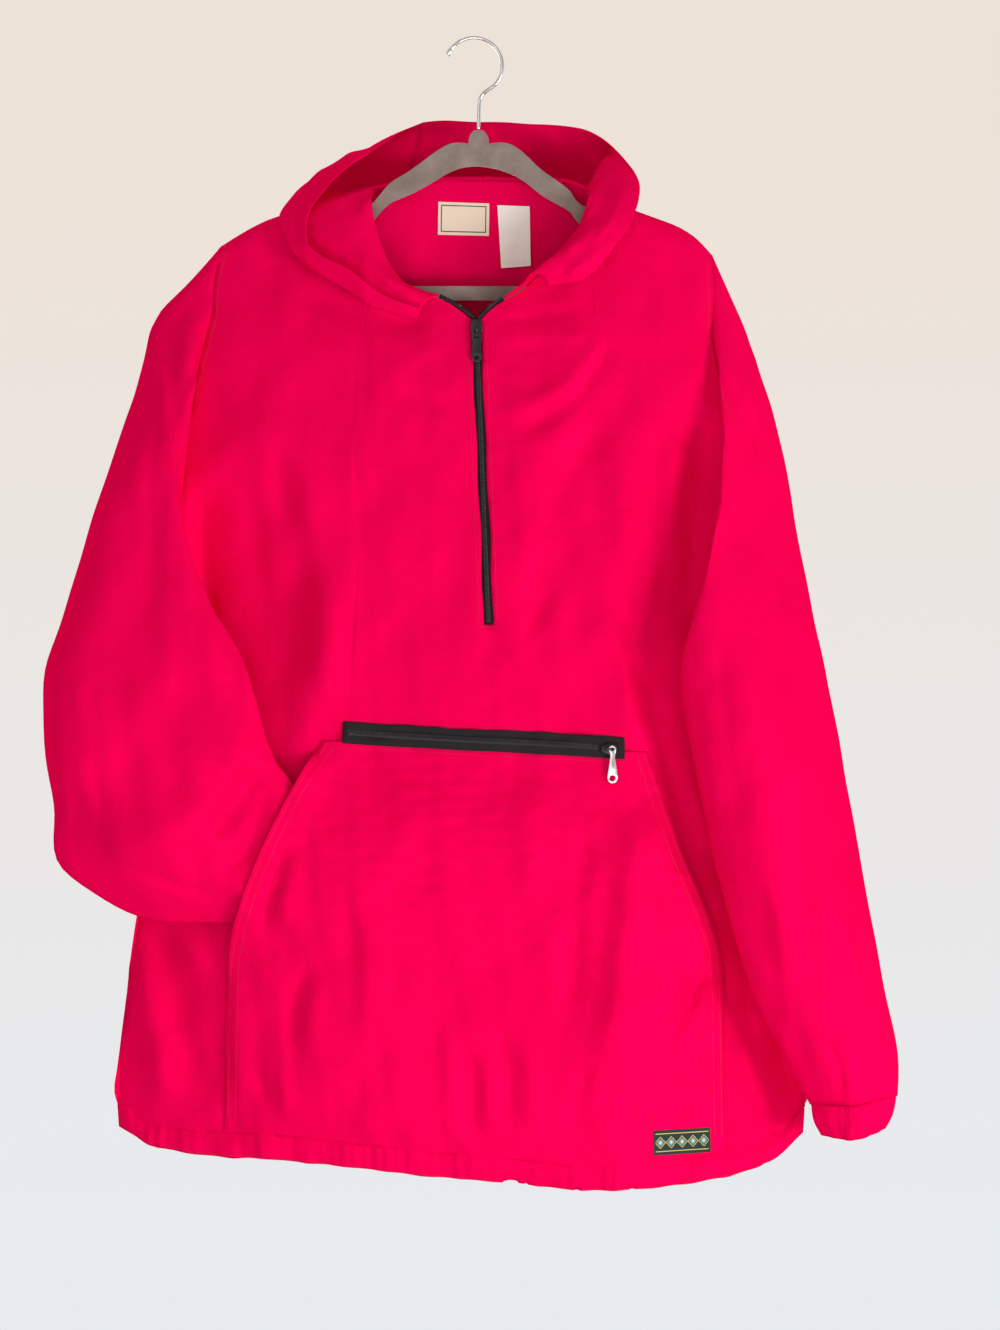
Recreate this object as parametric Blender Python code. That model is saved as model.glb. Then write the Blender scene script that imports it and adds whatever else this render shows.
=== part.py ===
"""Hooded half-zip anorak pullover on a slim padded hanger.

Metres, +Z up, the front faces -Y and the wearer's left is +X as the viewer sees it.
The origin is the inside top of the hanger's hook, where a rail or peg carries everything.

Every cloth piece is one grid of points on its outer face, thickened inwards to a wall.
Neighbouring pieces share the same seam curve and stand SEAM apart along it.
All tables are in millimetres; cloth() turns them into metres.
"""
import math

import bmesh
import bpy
import numpy as np

MM = 0.001

# ---- driving sizes, millimetres -------------------------------------------------------
CLOTH = 1.2            # nylon shell with its seam allowance, as one wall
SEAM = 0.3             # clear gap between two pieces that meet
LAY = 0.5              # clear gap between a piece and the panel it lies on
HEM_BAND = 20.0        # height of the elastic casing round the hem
HEM_GATHERS = 36       # waves of the gathered hem, all round
CUFF_GATHERS = 11      # waves of each gathered cuff
ZIP_WIDTH = 8.4        # front zip, both tapes, as it shows between the edges
ZIP_THICK = 1.4
POCKET_ZIP_HEIGHT = 18.5
SIDE_HALF = 5.0        # half the depth of the body at its side seams
WIRE_RADIUS = 1.9      # hanger hook

# ---- the body's outline: x left, x right, front depth and back depth per height --------
# z: height, xl / xr: side folds of the body, front / back: depth of the middle.
BODY = [
    # z,      xl,      xr,     front,  back
    (-118.0, -222.0, 209.0, 15.0, 13.0),
    (-182.0, -222.5, 209.5, 17.0, 15.0),
    (-214.0, -247.0, 220.0, 22.0, 17.0),
    (-250.0, -268.0, 232.0, 27.0, 19.0),
    (-322.0, -282.0, 248.0, 32.0, 21.0),
    (-400.0, -280.0, 252.0, 35.0, 22.0),
    (-486.0, -250.0, 244.0, 36.0, 23.0),
    (-600.0, -268.0, 248.0, 37.0, 25.0),
    (-700.0, -282.0, 258.0, 40.0, 28.0),
    (-800.0, -300.0, 272.0, 43.0, 31.0),
    (-900.0, -312.0, 288.0, 46.0, 34.0),
    (-960.0, -312.0, 291.0, 42.0, 31.0),
    (-1030.0, -306.0, 290.0, 38.0, 28.0),
]
# Shoulder seams, and the top line of the body: outside them, and raised across the neck.
SHOULDER_LEFT = [(-222.0, -182.0), (-176.0, -157.0), (-92.0, -138.0)]
SHOULDER_RIGHT = [(104.0, -137.0), (152.0, -154.5), (188.0, -169.5), (209.5, -190.0)]
TOP_OUTSIDE_LEFT = [(-300.0, -300.0), (-262.0, -236.0)]
TOP_NECK = [(-74.0, -112.0), (0.0, -106.0), (84.0, -112.0)]
TOP_OUTSIDE_RIGHT = [(240.0, -236.0), (280.0, -300.0)]
SHOULDER_ROUND = 14.0   # depth over which the shoulder rounds from front to back

# Armhole seams from the shoulder tip to the underarm, front and back alike.
ARMHOLE_LEFT = [(-222.0, -182.0), (-229.0, -214.0), (-231.0, -246.0), (-243.0, -290.0),
                (-250.0, -322.0), (-256.0, -360.0), (-258.0, -410.0), (-255.0, -450.0),
                (-250.0, -486.0)]
ARMHOLE_RIGHT = [(209.5, -190.0), (211.0, -225.0), (210.0, -262.0), (219.0, -300.0),
                 (229.0, -336.0), (237.0, -380.0), (241.0, -425.0), (243.0, -460.0),
                 (244.0, -486.0)]
# Side seams from the underarm to the top of the hem band.
SIDE_LEFT = [(-250.0, -486.0), (-258.0, -540.0), (-268.0, -600.0), (-282.0, -700.0),
             (-300.0, -800.0), (-309.0, -870.0), (-314.5, -935.0)]
SIDE_RIGHT = [(244.0, -486.0), (245.0, -540.0), (248.0, -600.0), (258.0, -700.0),
              (272.0, -800.0), (284.0, -870.0), (291.5, -940.0)]
# Lower edge of the panels, where the hem band starts.
HEM_TOP = [(-314.5, -935.0), (-290.0, -951.0), (-240.0, -960.0), (-153.0, -966.0),
           (-65.0, -976.0), (22.0, -984.0), (76.0, -990.0), (111.0, -992.0),
           (155.0, -990.0), (190.0, -986.0), (235.0, -977.0), (270.0, -962.0),
           (291.5, -940.0)]
# Front neckline, down to the top of the zip on either side, and the back neckline.
NECK_FRONT_LEFT = [(-92.0, -138.0), (-91.3, -145.5), (-88.0, -170.0), (-79.0, -197.0), (-66.0, -215.0),
                   (-48.0, -224.0), (-32.0, -229.0), (-15.0, -238.0), (-4.5, -248.0)]
NECK_FRONT_RIGHT = [(8.5, -248.0), (16.0, -238.0), (27.0, -230.0), (42.0, -222.0),
                    (58.0, -207.0), (78.0, -188.0), (94.0, -168.0),
                    (101.8, -144.5), (104.0, -137.0)]
NECK_BACK = [(-92.0, -138.0), (-87.0, -135.2), (-75.0, -131.0), (-43.0, -126.0), (0.0, -124.5),
             (40.0, -124.5), (75.0, -126.0), (92.0, -130.0),
             (99.0, -134.4), (104.0, -137.0)]
# Middle line of the front: zip first, then the plain front below it.
ZIP_TOP = (2.0, -248.0)
ZIP_END = (12.5, -510.0)
CENTRE_HEM = (20.0, -984.0)

# Large soft folds of the front and the back: a line in the panel, its width, and its
# height out of the panel (troughs are negative).
FRONT_FOLDS = [
    # x0,     z0,     x1,     z1,    width, height
    (-208.0, -350.0, -140.0, -470.0, 15.0, 6.0),
    (-140.0, -470.0, -135.0, -640.0, 16.0, 6.5),
    (-182.0, -380.0, -168.0, -560.0, 20.0, -7.0),
    (-60.0, -262.0, -120.0, -400.0, 16.0, 3.5),
    (100.0, -270.0, 48.0, -390.0, 13.0, 4.0),
    (112.0, -330.0, 52.0, -520.0, 16.0, -3.5),
    (30.0, -300.0, 40.0, -460.0, 14.0, 2.5),
    (148.0, -480.0, 172.0, -600.0, 13.0, -5.5),
    (172.0, -600.0, 205.0, -730.0, 14.0, -5.0),
    (196.0, -520.0, 214.0, -700.0, 12.0, 4.0),
    (118.0, -655.0, 100.0, -800.0, 11.0, 5.0),
    (100.0, -800.0, 96.0, -930.0, 11.0, 5.0),
    (215.0, -812.0, 160.0, -880.0, 9.0, 3.5),
    (232.0, -790.0, 258.0, -900.0, 10.0, -4.5),
    (-285.0, -780.0, -240.0, -930.0, 12.0, 4.0),
    (-262.0, -800.0, -205.0, -945.0, 10.0, -4.0),
    (-60.0, -690.0, -90.0, -900.0, 22.0, 2.5),
    (20.0, -620.0, 30.0, -860.0, 24.0, -2.0),
]
BACK_FOLDS = [
    (-150.0, -230.0, -60.0, -480.0, 24.0, 5.0),
    (140.0, -240.0, 70.0, -500.0, 24.0, 5.0),
    (-20.0, -380.0, -10.0, -800.0, 30.0, -4.0),
    (-180.0, -420.0, -160.0, -780.0, 20.0, -5.0),
    (170.0, -460.0, 190.0, -840.0, 20.0, -5.0),
    (100.0, -560.0, 120.0, -930.0, 20.0, 4.5),
    (-90.0, -600.0, -110.0, -940.0, 20.0, 4.5),
    (-240.0, -600.0, -270.0, -880.0, 16.0, 4.0),
    (225.0, -600.0, 250.0, -880.0, 16.0, 4.0),
]

# ---- sleeves: guide lines along each tube, a row per cross section --------------------
# o: outer edge, f: middle of the front, i: inner edge, b: middle of the back.
# Each guide is x, z and y (depth, minus towards the viewer).
RIGHT_SLEEVE = [
    # ox,    oz,     oy,    fx,    fz,     fy,    ix,    iz,     iy,    bx,    bz,    by
    (226.0, -226.0, 0.0, 221.0, -322.0, -25.0, 249.0, -490.0, -7.0, 243.0, -350.0, 18.0),
    (243.0, -268.0, 0.0, 221.0, -368.0, -43.0, 246.0, -500.0, -27.0, 256.0, -392.0, 15.0),
    (258.0, -318.0, -3.0, 213.0, -425.0, -58.0, 218.0, -512.0, -44.0, 268.0, -440.0, 6.0),
    (271.0, -378.0, -7.0, 207.0, -480.0, -68.0, 192.0, -529.0, -52.0, 271.0, -490.0, -6.0),
    (285.0, -448.0, -11.0, 222.0, -530.0, -76.0, 182.0, -556.0, -53.0, 262.0, -535.0, -14.0),
    (301.0, -522.0, -17.0, 238.0, -574.0, -82.0, 184.0, -590.0, -54.0, 262.0, -583.0, -18.0),
    (317.0, -600.0, -25.0, 252.0, -632.0, -85.0, 193.0, -640.0, -54.0, 268.0, -634.0, -20.0),
    (331.0, -676.0, -33.0, 264.0, -700.0, -86.0, 206.0, -704.0, -54.0, 276.0, -702.0, -22.0),
    (344.0, -748.0, -39.0, 279.0, -768.0, -86.0, 222.0, -768.0, -54.0, 288.0, -770.0, -24.0),
    (356.0, -812.0, -44.0, 297.0, -826.0, -84.0, 241.0, -828.0, -54.0, 302.0, -830.0, -27.0),
    (366.0, -864.0, -47.0, 314.0, -876.0, -82.0, 263.0, -878.0, -54.0, 317.0, -880.0, -30.0),
    (373.0, -902.0, -50.0, 328.0, -912.0, -80.0, 282.0, -912.0, -54.0, 329.0, -915.0, -34.0),
    (371.0, -928.0, -52.0, 333.0, -936.0, -77.0, 295.0, -936.0, -55.0, 333.0, -938.0, -38.0),
]
RIGHT_CUFF = [
    (370.0, -929.0, -52.0, 333.0, -937.0, -76.0, 296.0, -937.0, -55.0, 333.0, -939.0, -39.0),
    (360.0, -957.0, -54.0, 331.0, -967.0, -72.0, 303.0, -962.0, -56.0, 331.0, -964.0, -42.0),
]
LEFT_SLEEVE = [
    (-254.0, -217.0, 0.0, -246.0, -318.0, -28.0, -256.0, -490.0, -8.0, -262.0, -340.0, 18.0),
    (-281.0, -248.0, -1.0, -262.0, -352.0, -40.0, -252.0, -500.0, -26.0, -280.0, -370.0, 14.0),
    (-295.0, -300.0, -4.0, -264.0, -400.0, -52.0, -236.0, -508.0, -44.0, -290.0, -430.0, 4.0),
    (-318.5, -370.0, -8.0, -268.0, -455.0, -62.0, -216.0, -524.0, -50.0, -290.0, -480.0, -8.0),
    (-341.0, -440.0, -14.0, -272.0, -512.0, -70.0, -200.0, -552.0, -52.0, -282.0, -520.0, -17.0),
    (-363.5, -512.0, -20.0, -284.0, -565.0, -72.0, -191.0, -580.0, -53.0, -284.0, -562.0, -22.0),
    (-378.5, -568.0, -26.0, -294.0, -606.0, -72.0, -183.0, -612.0, -53.0, -290.0, -604.0, -25.0),
    (-375.0, -634.0, -32.0, -296.0, -650.0, -72.0, -173.0, -636.0, -52.0, -290.0, -648.0, -27.0),
    (-368.0, -684.0, -36.0, -290.0, -690.0, -71.0, -165.0, -648.0, -50.0, -282.0, -684.0, -28.0),
    (-366.0, -724.0, -38.0, -278.0, -722.0, -69.0, -160.0, -655.0, -49.0, -272.0, -716.0, -29.0),
    (-336.0, -750.0, -39.0, -256.0, -738.0, -65.0, -156.0, -662.0, -48.0, -252.0, -732.0, -30.0),
    (-298.0, -771.0, -39.0, -228.0, -744.0, -59.0, -151.0, -669.0, -47.0, -226.0, -740.0, -31.0),
    (-250.0, -777.0, -39.0, -196.0, -744.0, -55.0, -144.0, -675.0, -46.0, -195.0, -742.0, -34.0),
    (-206.0, -778.0, -40.0, -166.0, -746.0, -55.0, -133.0, -684.0, -47.0, -166.0, -745.0, -39.0),
    (-166.0, -780.0, -44.0, -137.0, -746.0, -57.0, -113.0, -698.0, -49.0, -137.0, -745.0, -43.0),
]
LEFT_CUFF = [
    (-164.5, -780.0, -44.5, -136.0, -746.0, -57.0, -112.0, -699.0, -49.5, -136.0, -745.0, -43.5),
    (-141.0, -776.0, -47.0, -117.0, -750.0, -58.0, -97.0, -718.0, -51.0, -117.0, -749.0, -45.5),
]
LEFT_SLEEVE_FOLDS = [
    (-350.0, -560.0, -240.0, -640.0, 16.0, 3.0),
    (-300.0, -400.0, -250.0, -600.0, 18.0, -3.5),
    (-330.0, -700.0, -220.0, -690.0, 14.0, 2.5),
    (-262.0, -300.0, -300.0, -420.0, 14.0, 3.0),
]
RIGHT_SLEEVE_FOLDS = [
    (262.0, -360.0, 300.0, -600.0, 16.0, 3.0),
    (230.0, -600.0, 300.0, -860.0, 14.0, -3.5),
    (335.0, -780.0, 358.0, -870.0, 9.0, -2.5),
    (240.0, -520.0, 262.0, -760.0, 16.0, 2.5),
]

# ---- hood, thrown back: a row per station from the left end of its rim to the right ---
# at: place along the neckline.  a: middle of the inside, v: valley by the rim (bag bottom
# at the back, crest of the turned-out flap on the right), e: outermost line, r: rim edge.
HOOD = [
    # at,   ax,     ay,    az,      vx,     vy,    vz,      ex,     ey,    ez,      rx,     ry,    rz
    (0.00, -38.0, -34.0, -229.0, -45.0, -34.0, -235.0, -53.0, -38.0, -247.0, -46.0, -43.0, -239.0),
    (0.06, -62.0, -35.0, -219.0, -76.0, -33.0, -226.0, -89.0, -37.0, -236.0, -81.0, -45.0, -226.0),
    (0.12, -88.0, -34.0, -204.0, -109.0, -31.0, -208.0, -118.0, -35.0, -219.0, -110.0, -46.0, -205.0),
    (0.18, -104.0, -31.0, -188.0, -132.0, -26.0, -196.0, -150.0, -30.0, -201.0, -135.0, -44.0, -193.0),
    (0.24, -112.0, -26.0, -166.0, -145.0, -24.0, -174.0, -168.0, -24.0, -180.0, -148.0, -40.0, -179.0),
    (0.29, -114.0, -14.0, -142.0, -144.0, -15.0, -149.0, -172.0, -14.0, -157.0, -146.0, -31.0, -155.0),
    (0.34, -108.0, 2.0, -137.0, -134.0, 5.0, -139.0, -163.0, 4.0, -140.0, -134.0, -18.0, -136.0),
    (0.39, -98.0, 19.0, -133.0, -120.0, 20.0, -138.0, -142.0, 20.0, -120.5, -119.0, -2.0, -118.0),
    (0.44, -76.0, 34.0, -160.0, -88.0, 40.0, -200.0, -110.0, 46.0, -104.0, -94.0, 22.0, -98.0),
    (0.50, -34.0, 37.0, -200.0, -44.0, 50.0, -285.0, -56.0, 68.0, -140.0, -46.0, 50.0, -71.0),
    (0.56, 4.0, 38.0, -210.0, 4.0, 54.0, -312.0, 4.0, 76.0, -150.0, 6.0, 56.0, -70.0),
    (0.62, 40.0, 38.0, -202.0, 52.0, 50.0, -290.0, 62.0, 68.0, -140.0, 50.0, 52.0, -72.0),
    (0.665, 82.0, 36.0, -165.0, 98.0, 44.0, -215.0, 118.0, 48.0, -118.0, 88.0, 42.0, -75.0),
    (0.70, 101.0, 22.0, -126.0, 113.0, 28.0, -112.0, 124.0, 28.0, -96.0, 116.0, 27.0, -87.5),
    (0.735, 106.0, 1.0, -129.0, 116.0, 8.0, -114.0, 131.0, 6.0, -110.0, 142.0, 0.0, -118.0),
    (0.79, 102.0, -19.0, -150.0, 113.0, -16.0, -142.0, 128.0, -21.0, -146.0, 140.0, -23.0, -156.0),
    (0.855, 96.0, -31.0, -170.0, 102.0, -37.0, -167.0, 115.0, -38.0, -173.0, 124.0, -35.0, -183.0),
    (0.925, 76.0, -36.0, -190.0, 82.0, -43.0, -186.0, 94.0, -44.0, -197.0, 99.0, -39.0, -210.0),
    (1.00, 44.0, -36.0, -216.0, 52.0, -42.0, -208.0, 62.0, -43.0, -211.0, 64.0, -40.0, -219.0),
]
HOOD_COLUMNS = 43
HOOD_ROWS = 14

# ---- kangaroo pouch: rows from its top to the hem band --------------------------------
# z at the left and right edge, x left, x right of the pouch.
POUCH = [
    # at,   xl,     zl,      xr,    zr
    (0.00, -131.0, -618.0, 152.0, -628.0),
    (0.12, -158.0, -657.0, 166.0, -670.0),
    (0.26, -180.0, -700.0, 182.0, -714.0),
    (0.40, -198.0, -742.0, 200.0, -756.0),
    (0.52, -209.0, -776.0, 216.0, -800.0),
    (0.64, -216.0, -812.0, 219.0, -838.0),
    (0.82, -218.0, -884.0, 220.0, -908.0),
    (1.00, -219.0, -957.0, 221.0, -974.0),
]
POUCH_LIFT = 13.0        # how far the middle of the pouch stands off the front

# ---- hanger ---------------------------------------------------------------------------
HANGER_THICK = 4.8
# x, top and bottom of the arms where they show in the neck.
HANGER_ARCH = [
    (-90.0, -145.2, -161.0), (-76.0, -128.5, -146.0), (-60.0, -118.0, -138.5),
    (-40.0, -103.5, -128.0), (-21.0, -92.0, -117.0), (-6.0, -84.0, -112.5),
    (10.0, -84.0, -112.5), (31.0, -92.0, -118.0), (48.0, -104.0, -128.0),
    (62.0, -117.0, -139.0), (82.0, -131.0, -150.0), (88.0, -139.5, -157.0),
    (98.0, -147.5, -166.0),
]
# Hidden arms: x, and how far the top edge lies below the shoulder line resting on it.
HANGER_ARM_LEFT = [(-104.0, 7.0), (-120.0, 5.0), (-145.0, 4.2), (-170.0, 4.2), (-184.0, 4.2),
                   (-193.0, 4.4)]
HANGER_ARM_RIGHT = [(112.0, 8.0), (130.0, 5.0), (152.0, 4.2), (172.0, 4.2), (186.0, 4.6),
                    (195.0, 5.6)]
HANGER_ARM_DEPTH = 21.0
HANGER_BAR_TOP = -217.5
HANGER_BAR_HEIGHT = 12.0
HOOK_CENTRE = (0.0, -25.0 + WIRE_RADIUS)
HOOK_RADIUS = 25.0


# ---- small tools ------------------------------------------------------------------------
def catmull(points, count):
    """Even samples along a smooth curve through the points."""
    pts = np.asarray(points, float)
    ext = np.vstack([2 * pts[0] - pts[1], pts, 2 * pts[-1] - pts[-2]])
    fine = []
    for k in range(len(pts) - 1):
        a, b, c, d = ext[k:k + 4]
        for t in np.linspace(0, 1, 24, endpoint=False):
            fine.append(0.5 * ((2 * b) + (c - a) * t + (2 * a - 5 * b + 4 * c - d) * t ** 2
                               + (3 * b - a - 3 * c + d) * t ** 3))
    fine.append(pts[-1])
    fine = np.array(fine)
    run = np.concatenate([[0], np.cumsum(np.linalg.norm(np.diff(fine, axis=0), axis=1))])
    where = np.linspace(0, 1, count) if np.isscalar(count) else np.asarray(count)
    return np.array([[np.interp(w * run[-1], run, fine[:, c]) for c in range(fine.shape[1])]
                     for w in where])


def smooth_table(rows, key, values):
    """Smooth interpolation of a table whose first column rises or falls steadily."""
    tab = np.asarray(rows, float)
    if tab[0, 0] > tab[-1, 0]:
        tab = tab[::-1]
    x = tab[:, 0]
    key = np.clip(np.asarray(key, float), x[0], x[-1])
    out = []
    for c in values:
        y = tab[:, c]
        slope = np.gradient(y, x)
        k = np.clip(np.searchsorted(x, key, side="right") - 1, 0, len(x) - 2)
        h = x[k + 1] - x[k]
        t = (key - x[k]) / h
        out.append((2 * t ** 3 - 3 * t ** 2 + 1) * y[k] + (t ** 3 - 2 * t ** 2 + t) * h * slope[k]
                   + (3 * t ** 2 - 2 * t ** 3) * y[k + 1] + (t ** 3 - t ** 2) * h * slope[k + 1])
    return out


def ease(t):
    t = np.clip(t, 0.0, 1.0)
    return t * t * (3 - 2 * t)


TOP_LINE = np.vstack([TOP_OUTSIDE_LEFT, catmull(SHOULDER_LEFT, 40), TOP_NECK,
                      catmull(SHOULDER_RIGHT, 40), TOP_OUTSIDE_RIGHT])


def top_line(x):
    """Height of the body's upper edge at x."""
    return np.interp(x, TOP_LINE[:, 0], TOP_LINE[:, 1])


def fold_height(x, z, folds):
    """Sum of soft ridges and troughs, each along a line with fading ends."""
    total = np.zeros_like(np.asarray(x, float))
    for x0, z0, x1, z1, width, height in folds:
        length = math.hypot(x1 - x0, z1 - z0)
        dx, dz = (x1 - x0) / length, (z1 - z0) / length
        along = ((x - x0) * dx + (z - z0) * dz) / length
        across = (x - x0) * dz - (z - z0) * dx
        ends = ease((along + 0.12) / 0.3) * ease((1.12 - along) / 0.3)
        total = total + height * ends * np.exp(-(across / width) ** 2)
    return total


def half_depth(x, z, side):
    """Depth of the body from its middle plane: side -1 is the front, +1 the back."""
    x = np.asarray(x, float)
    z = np.asarray(z, float)
    xl, xr, front, back = smooth_table(BODY, z, (1, 2, 3, 4))
    middle = front if side < 0 else back
    centre, half = (xl + xr) / 2, (xr - xl) / 2
    across = np.clip(np.abs((x - centre) / half), 0, 1)
    lens = SIDE_HALF + (middle - SIDE_HALF) * (1 - across ** 2.6)
    edge = np.clip((half - np.abs(x - centre)) / 9.0, 0, 1)
    lens = lens * np.sqrt(1 - (1 - edge) ** 2)
    top = top_line(x)
    below = np.clip((top - z) / SHOULDER_ROUND, 0, 1)
    lens = lens * np.sqrt(1 - (1 - below) ** 2)
    folds = FRONT_FOLDS if side < 0 else BACK_FOLDS
    inside = ease((half - np.abs(x - centre)) / 40.0) * ease((top - z - 20) / 60.0)
    return lens + inside * fold_height(x, z, folds)


def front_y(x, z):
    return -half_depth(x, z, -1)


def back_y(x, z):
    return half_depth(x, z, +1)


def grid_normals(pts, closed):
    """Unit normals of a grid of points, rows down and columns across."""
    if closed:
        du = np.roll(pts, -1, axis=1) - np.roll(pts, 1, axis=1)
    else:
        du = np.gradient(pts, axis=1)
    dv = np.gradient(pts, axis=0)
    n = np.cross(du, dv)
    length = np.linalg.norm(n, axis=2, keepdims=True)
    return n / np.where(length < 1e-9, 1.0, length)


def calm(normals, closed, rounds=2):
    """Even out wall directions, so a wall keeps its thickness through tight folds."""
    for _ in range(rounds):
        wide = np.pad(normals, ((1, 1), (0, 0), (0, 0)), mode="edge")
        total = 2 * normals + wide[:-2] + wide[2:]
        if closed:
            total = total + np.roll(normals, 1, axis=1) + np.roll(normals, -1, axis=1)
        else:
            wide = np.pad(normals, ((0, 0), (1, 1), (0, 0)), mode="edge")
            total = total + wide[:, :-2] + wide[:, 2:]
        length = np.linalg.norm(total, axis=2, keepdims=True)
        normals = total / np.where(length < 1e-9, 1.0, length)
    return normals


def material(name, colour, rough, metallic=0.0):
    mat = bpy.data.materials.new(name)
    mat.use_nodes = True
    shader = mat.node_tree.nodes["Principled BSDF"]
    shader.inputs["Base Color"].default_value = (*colour, 1.0)
    shader.inputs["Roughness"].default_value = rough
    shader.inputs["Metallic"].default_value = metallic
    return mat


def make_object(name, verts, faces, mat, origin=(0.0, 0.0, 0.0)):
    """A named mesh object from millimetre points, with its origin where asked."""
    base = np.asarray(origin, float)
    mesh = bpy.data.meshes.new(name)
    mesh.from_pydata([tuple((np.asarray(v) - base) * MM) for v in verts], [], faces)
    bm = bmesh.new()
    bm.from_mesh(mesh)
    bmesh.ops.recalc_face_normals(bm, faces=bm.faces)
    bm.to_mesh(mesh)
    bm.free()
    mesh.materials.append(mat)
    obj = bpy.data.objects.new(name, mesh)
    obj.location = tuple(base * MM)
    bpy.context.scene.collection.objects.link(obj)
    return obj


def cloth(name, pts, mat, wall=CLOTH, inward=1.0, closed=False, keep=None, inner=None):
    """Thicken a grid of outer points to one closed wall.

    inward: sign that turns the grid's normal towards the inside of the wall.
    keep: optional mask of the cells that exist, for slits.  inner: ready inner points.
    """
    pts = np.asarray(pts, float)
    rows, cols = pts.shape[:2]
    if inner is None:
        inner = pts + inward * wall * grid_normals(pts, closed)
    across = cols if closed else cols - 1
    if keep is None:
        keep = np.ones((rows - 1, across), bool)
    quads = [(i, j) for i in range(rows - 1) for j in range(across) if keep[i, j]]
    index, verts = {}, []

    def point(layer, i, j):
        key = (layer, i, j % cols)
        if key not in index:
            index[key] = len(verts)
            verts.append((pts if layer == 0 else inner)[i, j % cols])
        return index[key]

    faces, border = [], {}
    for i, j in quads:
        ring = [(i, j), (i, (j + 1) % cols), (i + 1, (j + 1) % cols), (i + 1, j)]
        # Both faces of the wall are cut along the same diagonal, so they stay a wall apart.
        for p, q, r in (ring[:3], (ring[0], ring[2], ring[3])):
            faces.append([point(0, *p), point(0, *q), point(0, *r)])
            faces.append([point(1, *r), point(1, *q), point(1, *p)])
        for a, b in zip(ring, ring[1:] + ring[:1]):
            if (b, a) in border:
                del border[(b, a)]
            else:
                border[(a, b)] = True
    for a, b in border:
        faces.append([point(0, *b), point(0, *a), point(1, *a), point(1, *b)])
    return make_object(name, verts, faces, mat)


def tube(name, path, radii, mat, sides=10):
    """A round wire along a path, a radius for each point, ends capped."""
    path = np.asarray(path, float)
    tangent = np.gradient(path, axis=0)
    tangent /= np.linalg.norm(tangent, axis=1, keepdims=True)
    side = np.array([0.0, 1.0, 0.0])
    verts, faces = [], []
    for p, t, radius in zip(path, tangent, radii):
        u = side - np.dot(side, t) * t
        u /= np.linalg.norm(u)
        v = np.cross(t, u)
        for k in range(sides):
            a = 2 * math.pi * k / sides
            verts.append(p + radius * (math.cos(a) * u + math.sin(a) * v))
    for i in range(len(path) - 1):
        for k in range(sides):
            m = (k + 1) % sides
            faces.append((i * sides + k, i * sides + m, (i + 1) * sides + m, (i + 1) * sides + k))
    faces.append(tuple(range(sides)))
    last = (len(path) - 1) * sides
    faces.append(tuple(last + k for k in reversed(range(sides))))
    return make_object(name, verts, faces, mat)


# ---- body panels --------------------------------------------------------------------------
def panel_patch(top, bottom, left, right, vs):
    """Fill four boundary curves with a grid: top and bottom share columns."""
    cols = len(top)
    us = np.linspace(0, 1, cols)
    out = np.zeros((len(vs), cols, 2))
    for i, v in enumerate(vs):
        for j, u in enumerate(us):
            out[i, j] = ((1 - v) * top[j] + v * bottom[j] + (1 - u) * left[i] + u * right[i]
                         - (1 - u) * (1 - v) * top[0] - u * (1 - v) * top[-1]
                         - (1 - u) * v * bottom[0] - u * v * bottom[-1])
    return out


def hem_point(fractions, x0, x1):
    """Points of the hem line between two x positions."""
    xs = x0 + (x1 - x0) * np.asarray(fractions)
    zs, = smooth_table(HEM_TOP, xs, (1,))
    return np.stack([xs, zs], axis=1)


UNDERARM = 306.0 / 765.0         # the row of the panels that meets the underarm
PANEL_ROWS = np.array([0.0, 1.2, 4.0, 8.5, 15.0, 24.0, 38.0, 58.0] + list(np.linspace(85.0, 306.0, 9))
                      + list(np.linspace(335.0, 765.0, 15))) / 765.0


def side_line(armhole, side, vs):
    """Left or right edge of a panel: armhole down to the underarm, then the side seam."""
    vs = np.asarray(vs)
    upper = catmull(armhole, np.clip(vs / UNDERARM, 0, 1))
    lower = catmull(side, np.clip((vs - UNDERARM) / (1 - UNDERARM), 0, 1))
    return np.where((vs <= UNDERARM + 1e-9)[:, None], upper, lower)


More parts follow.
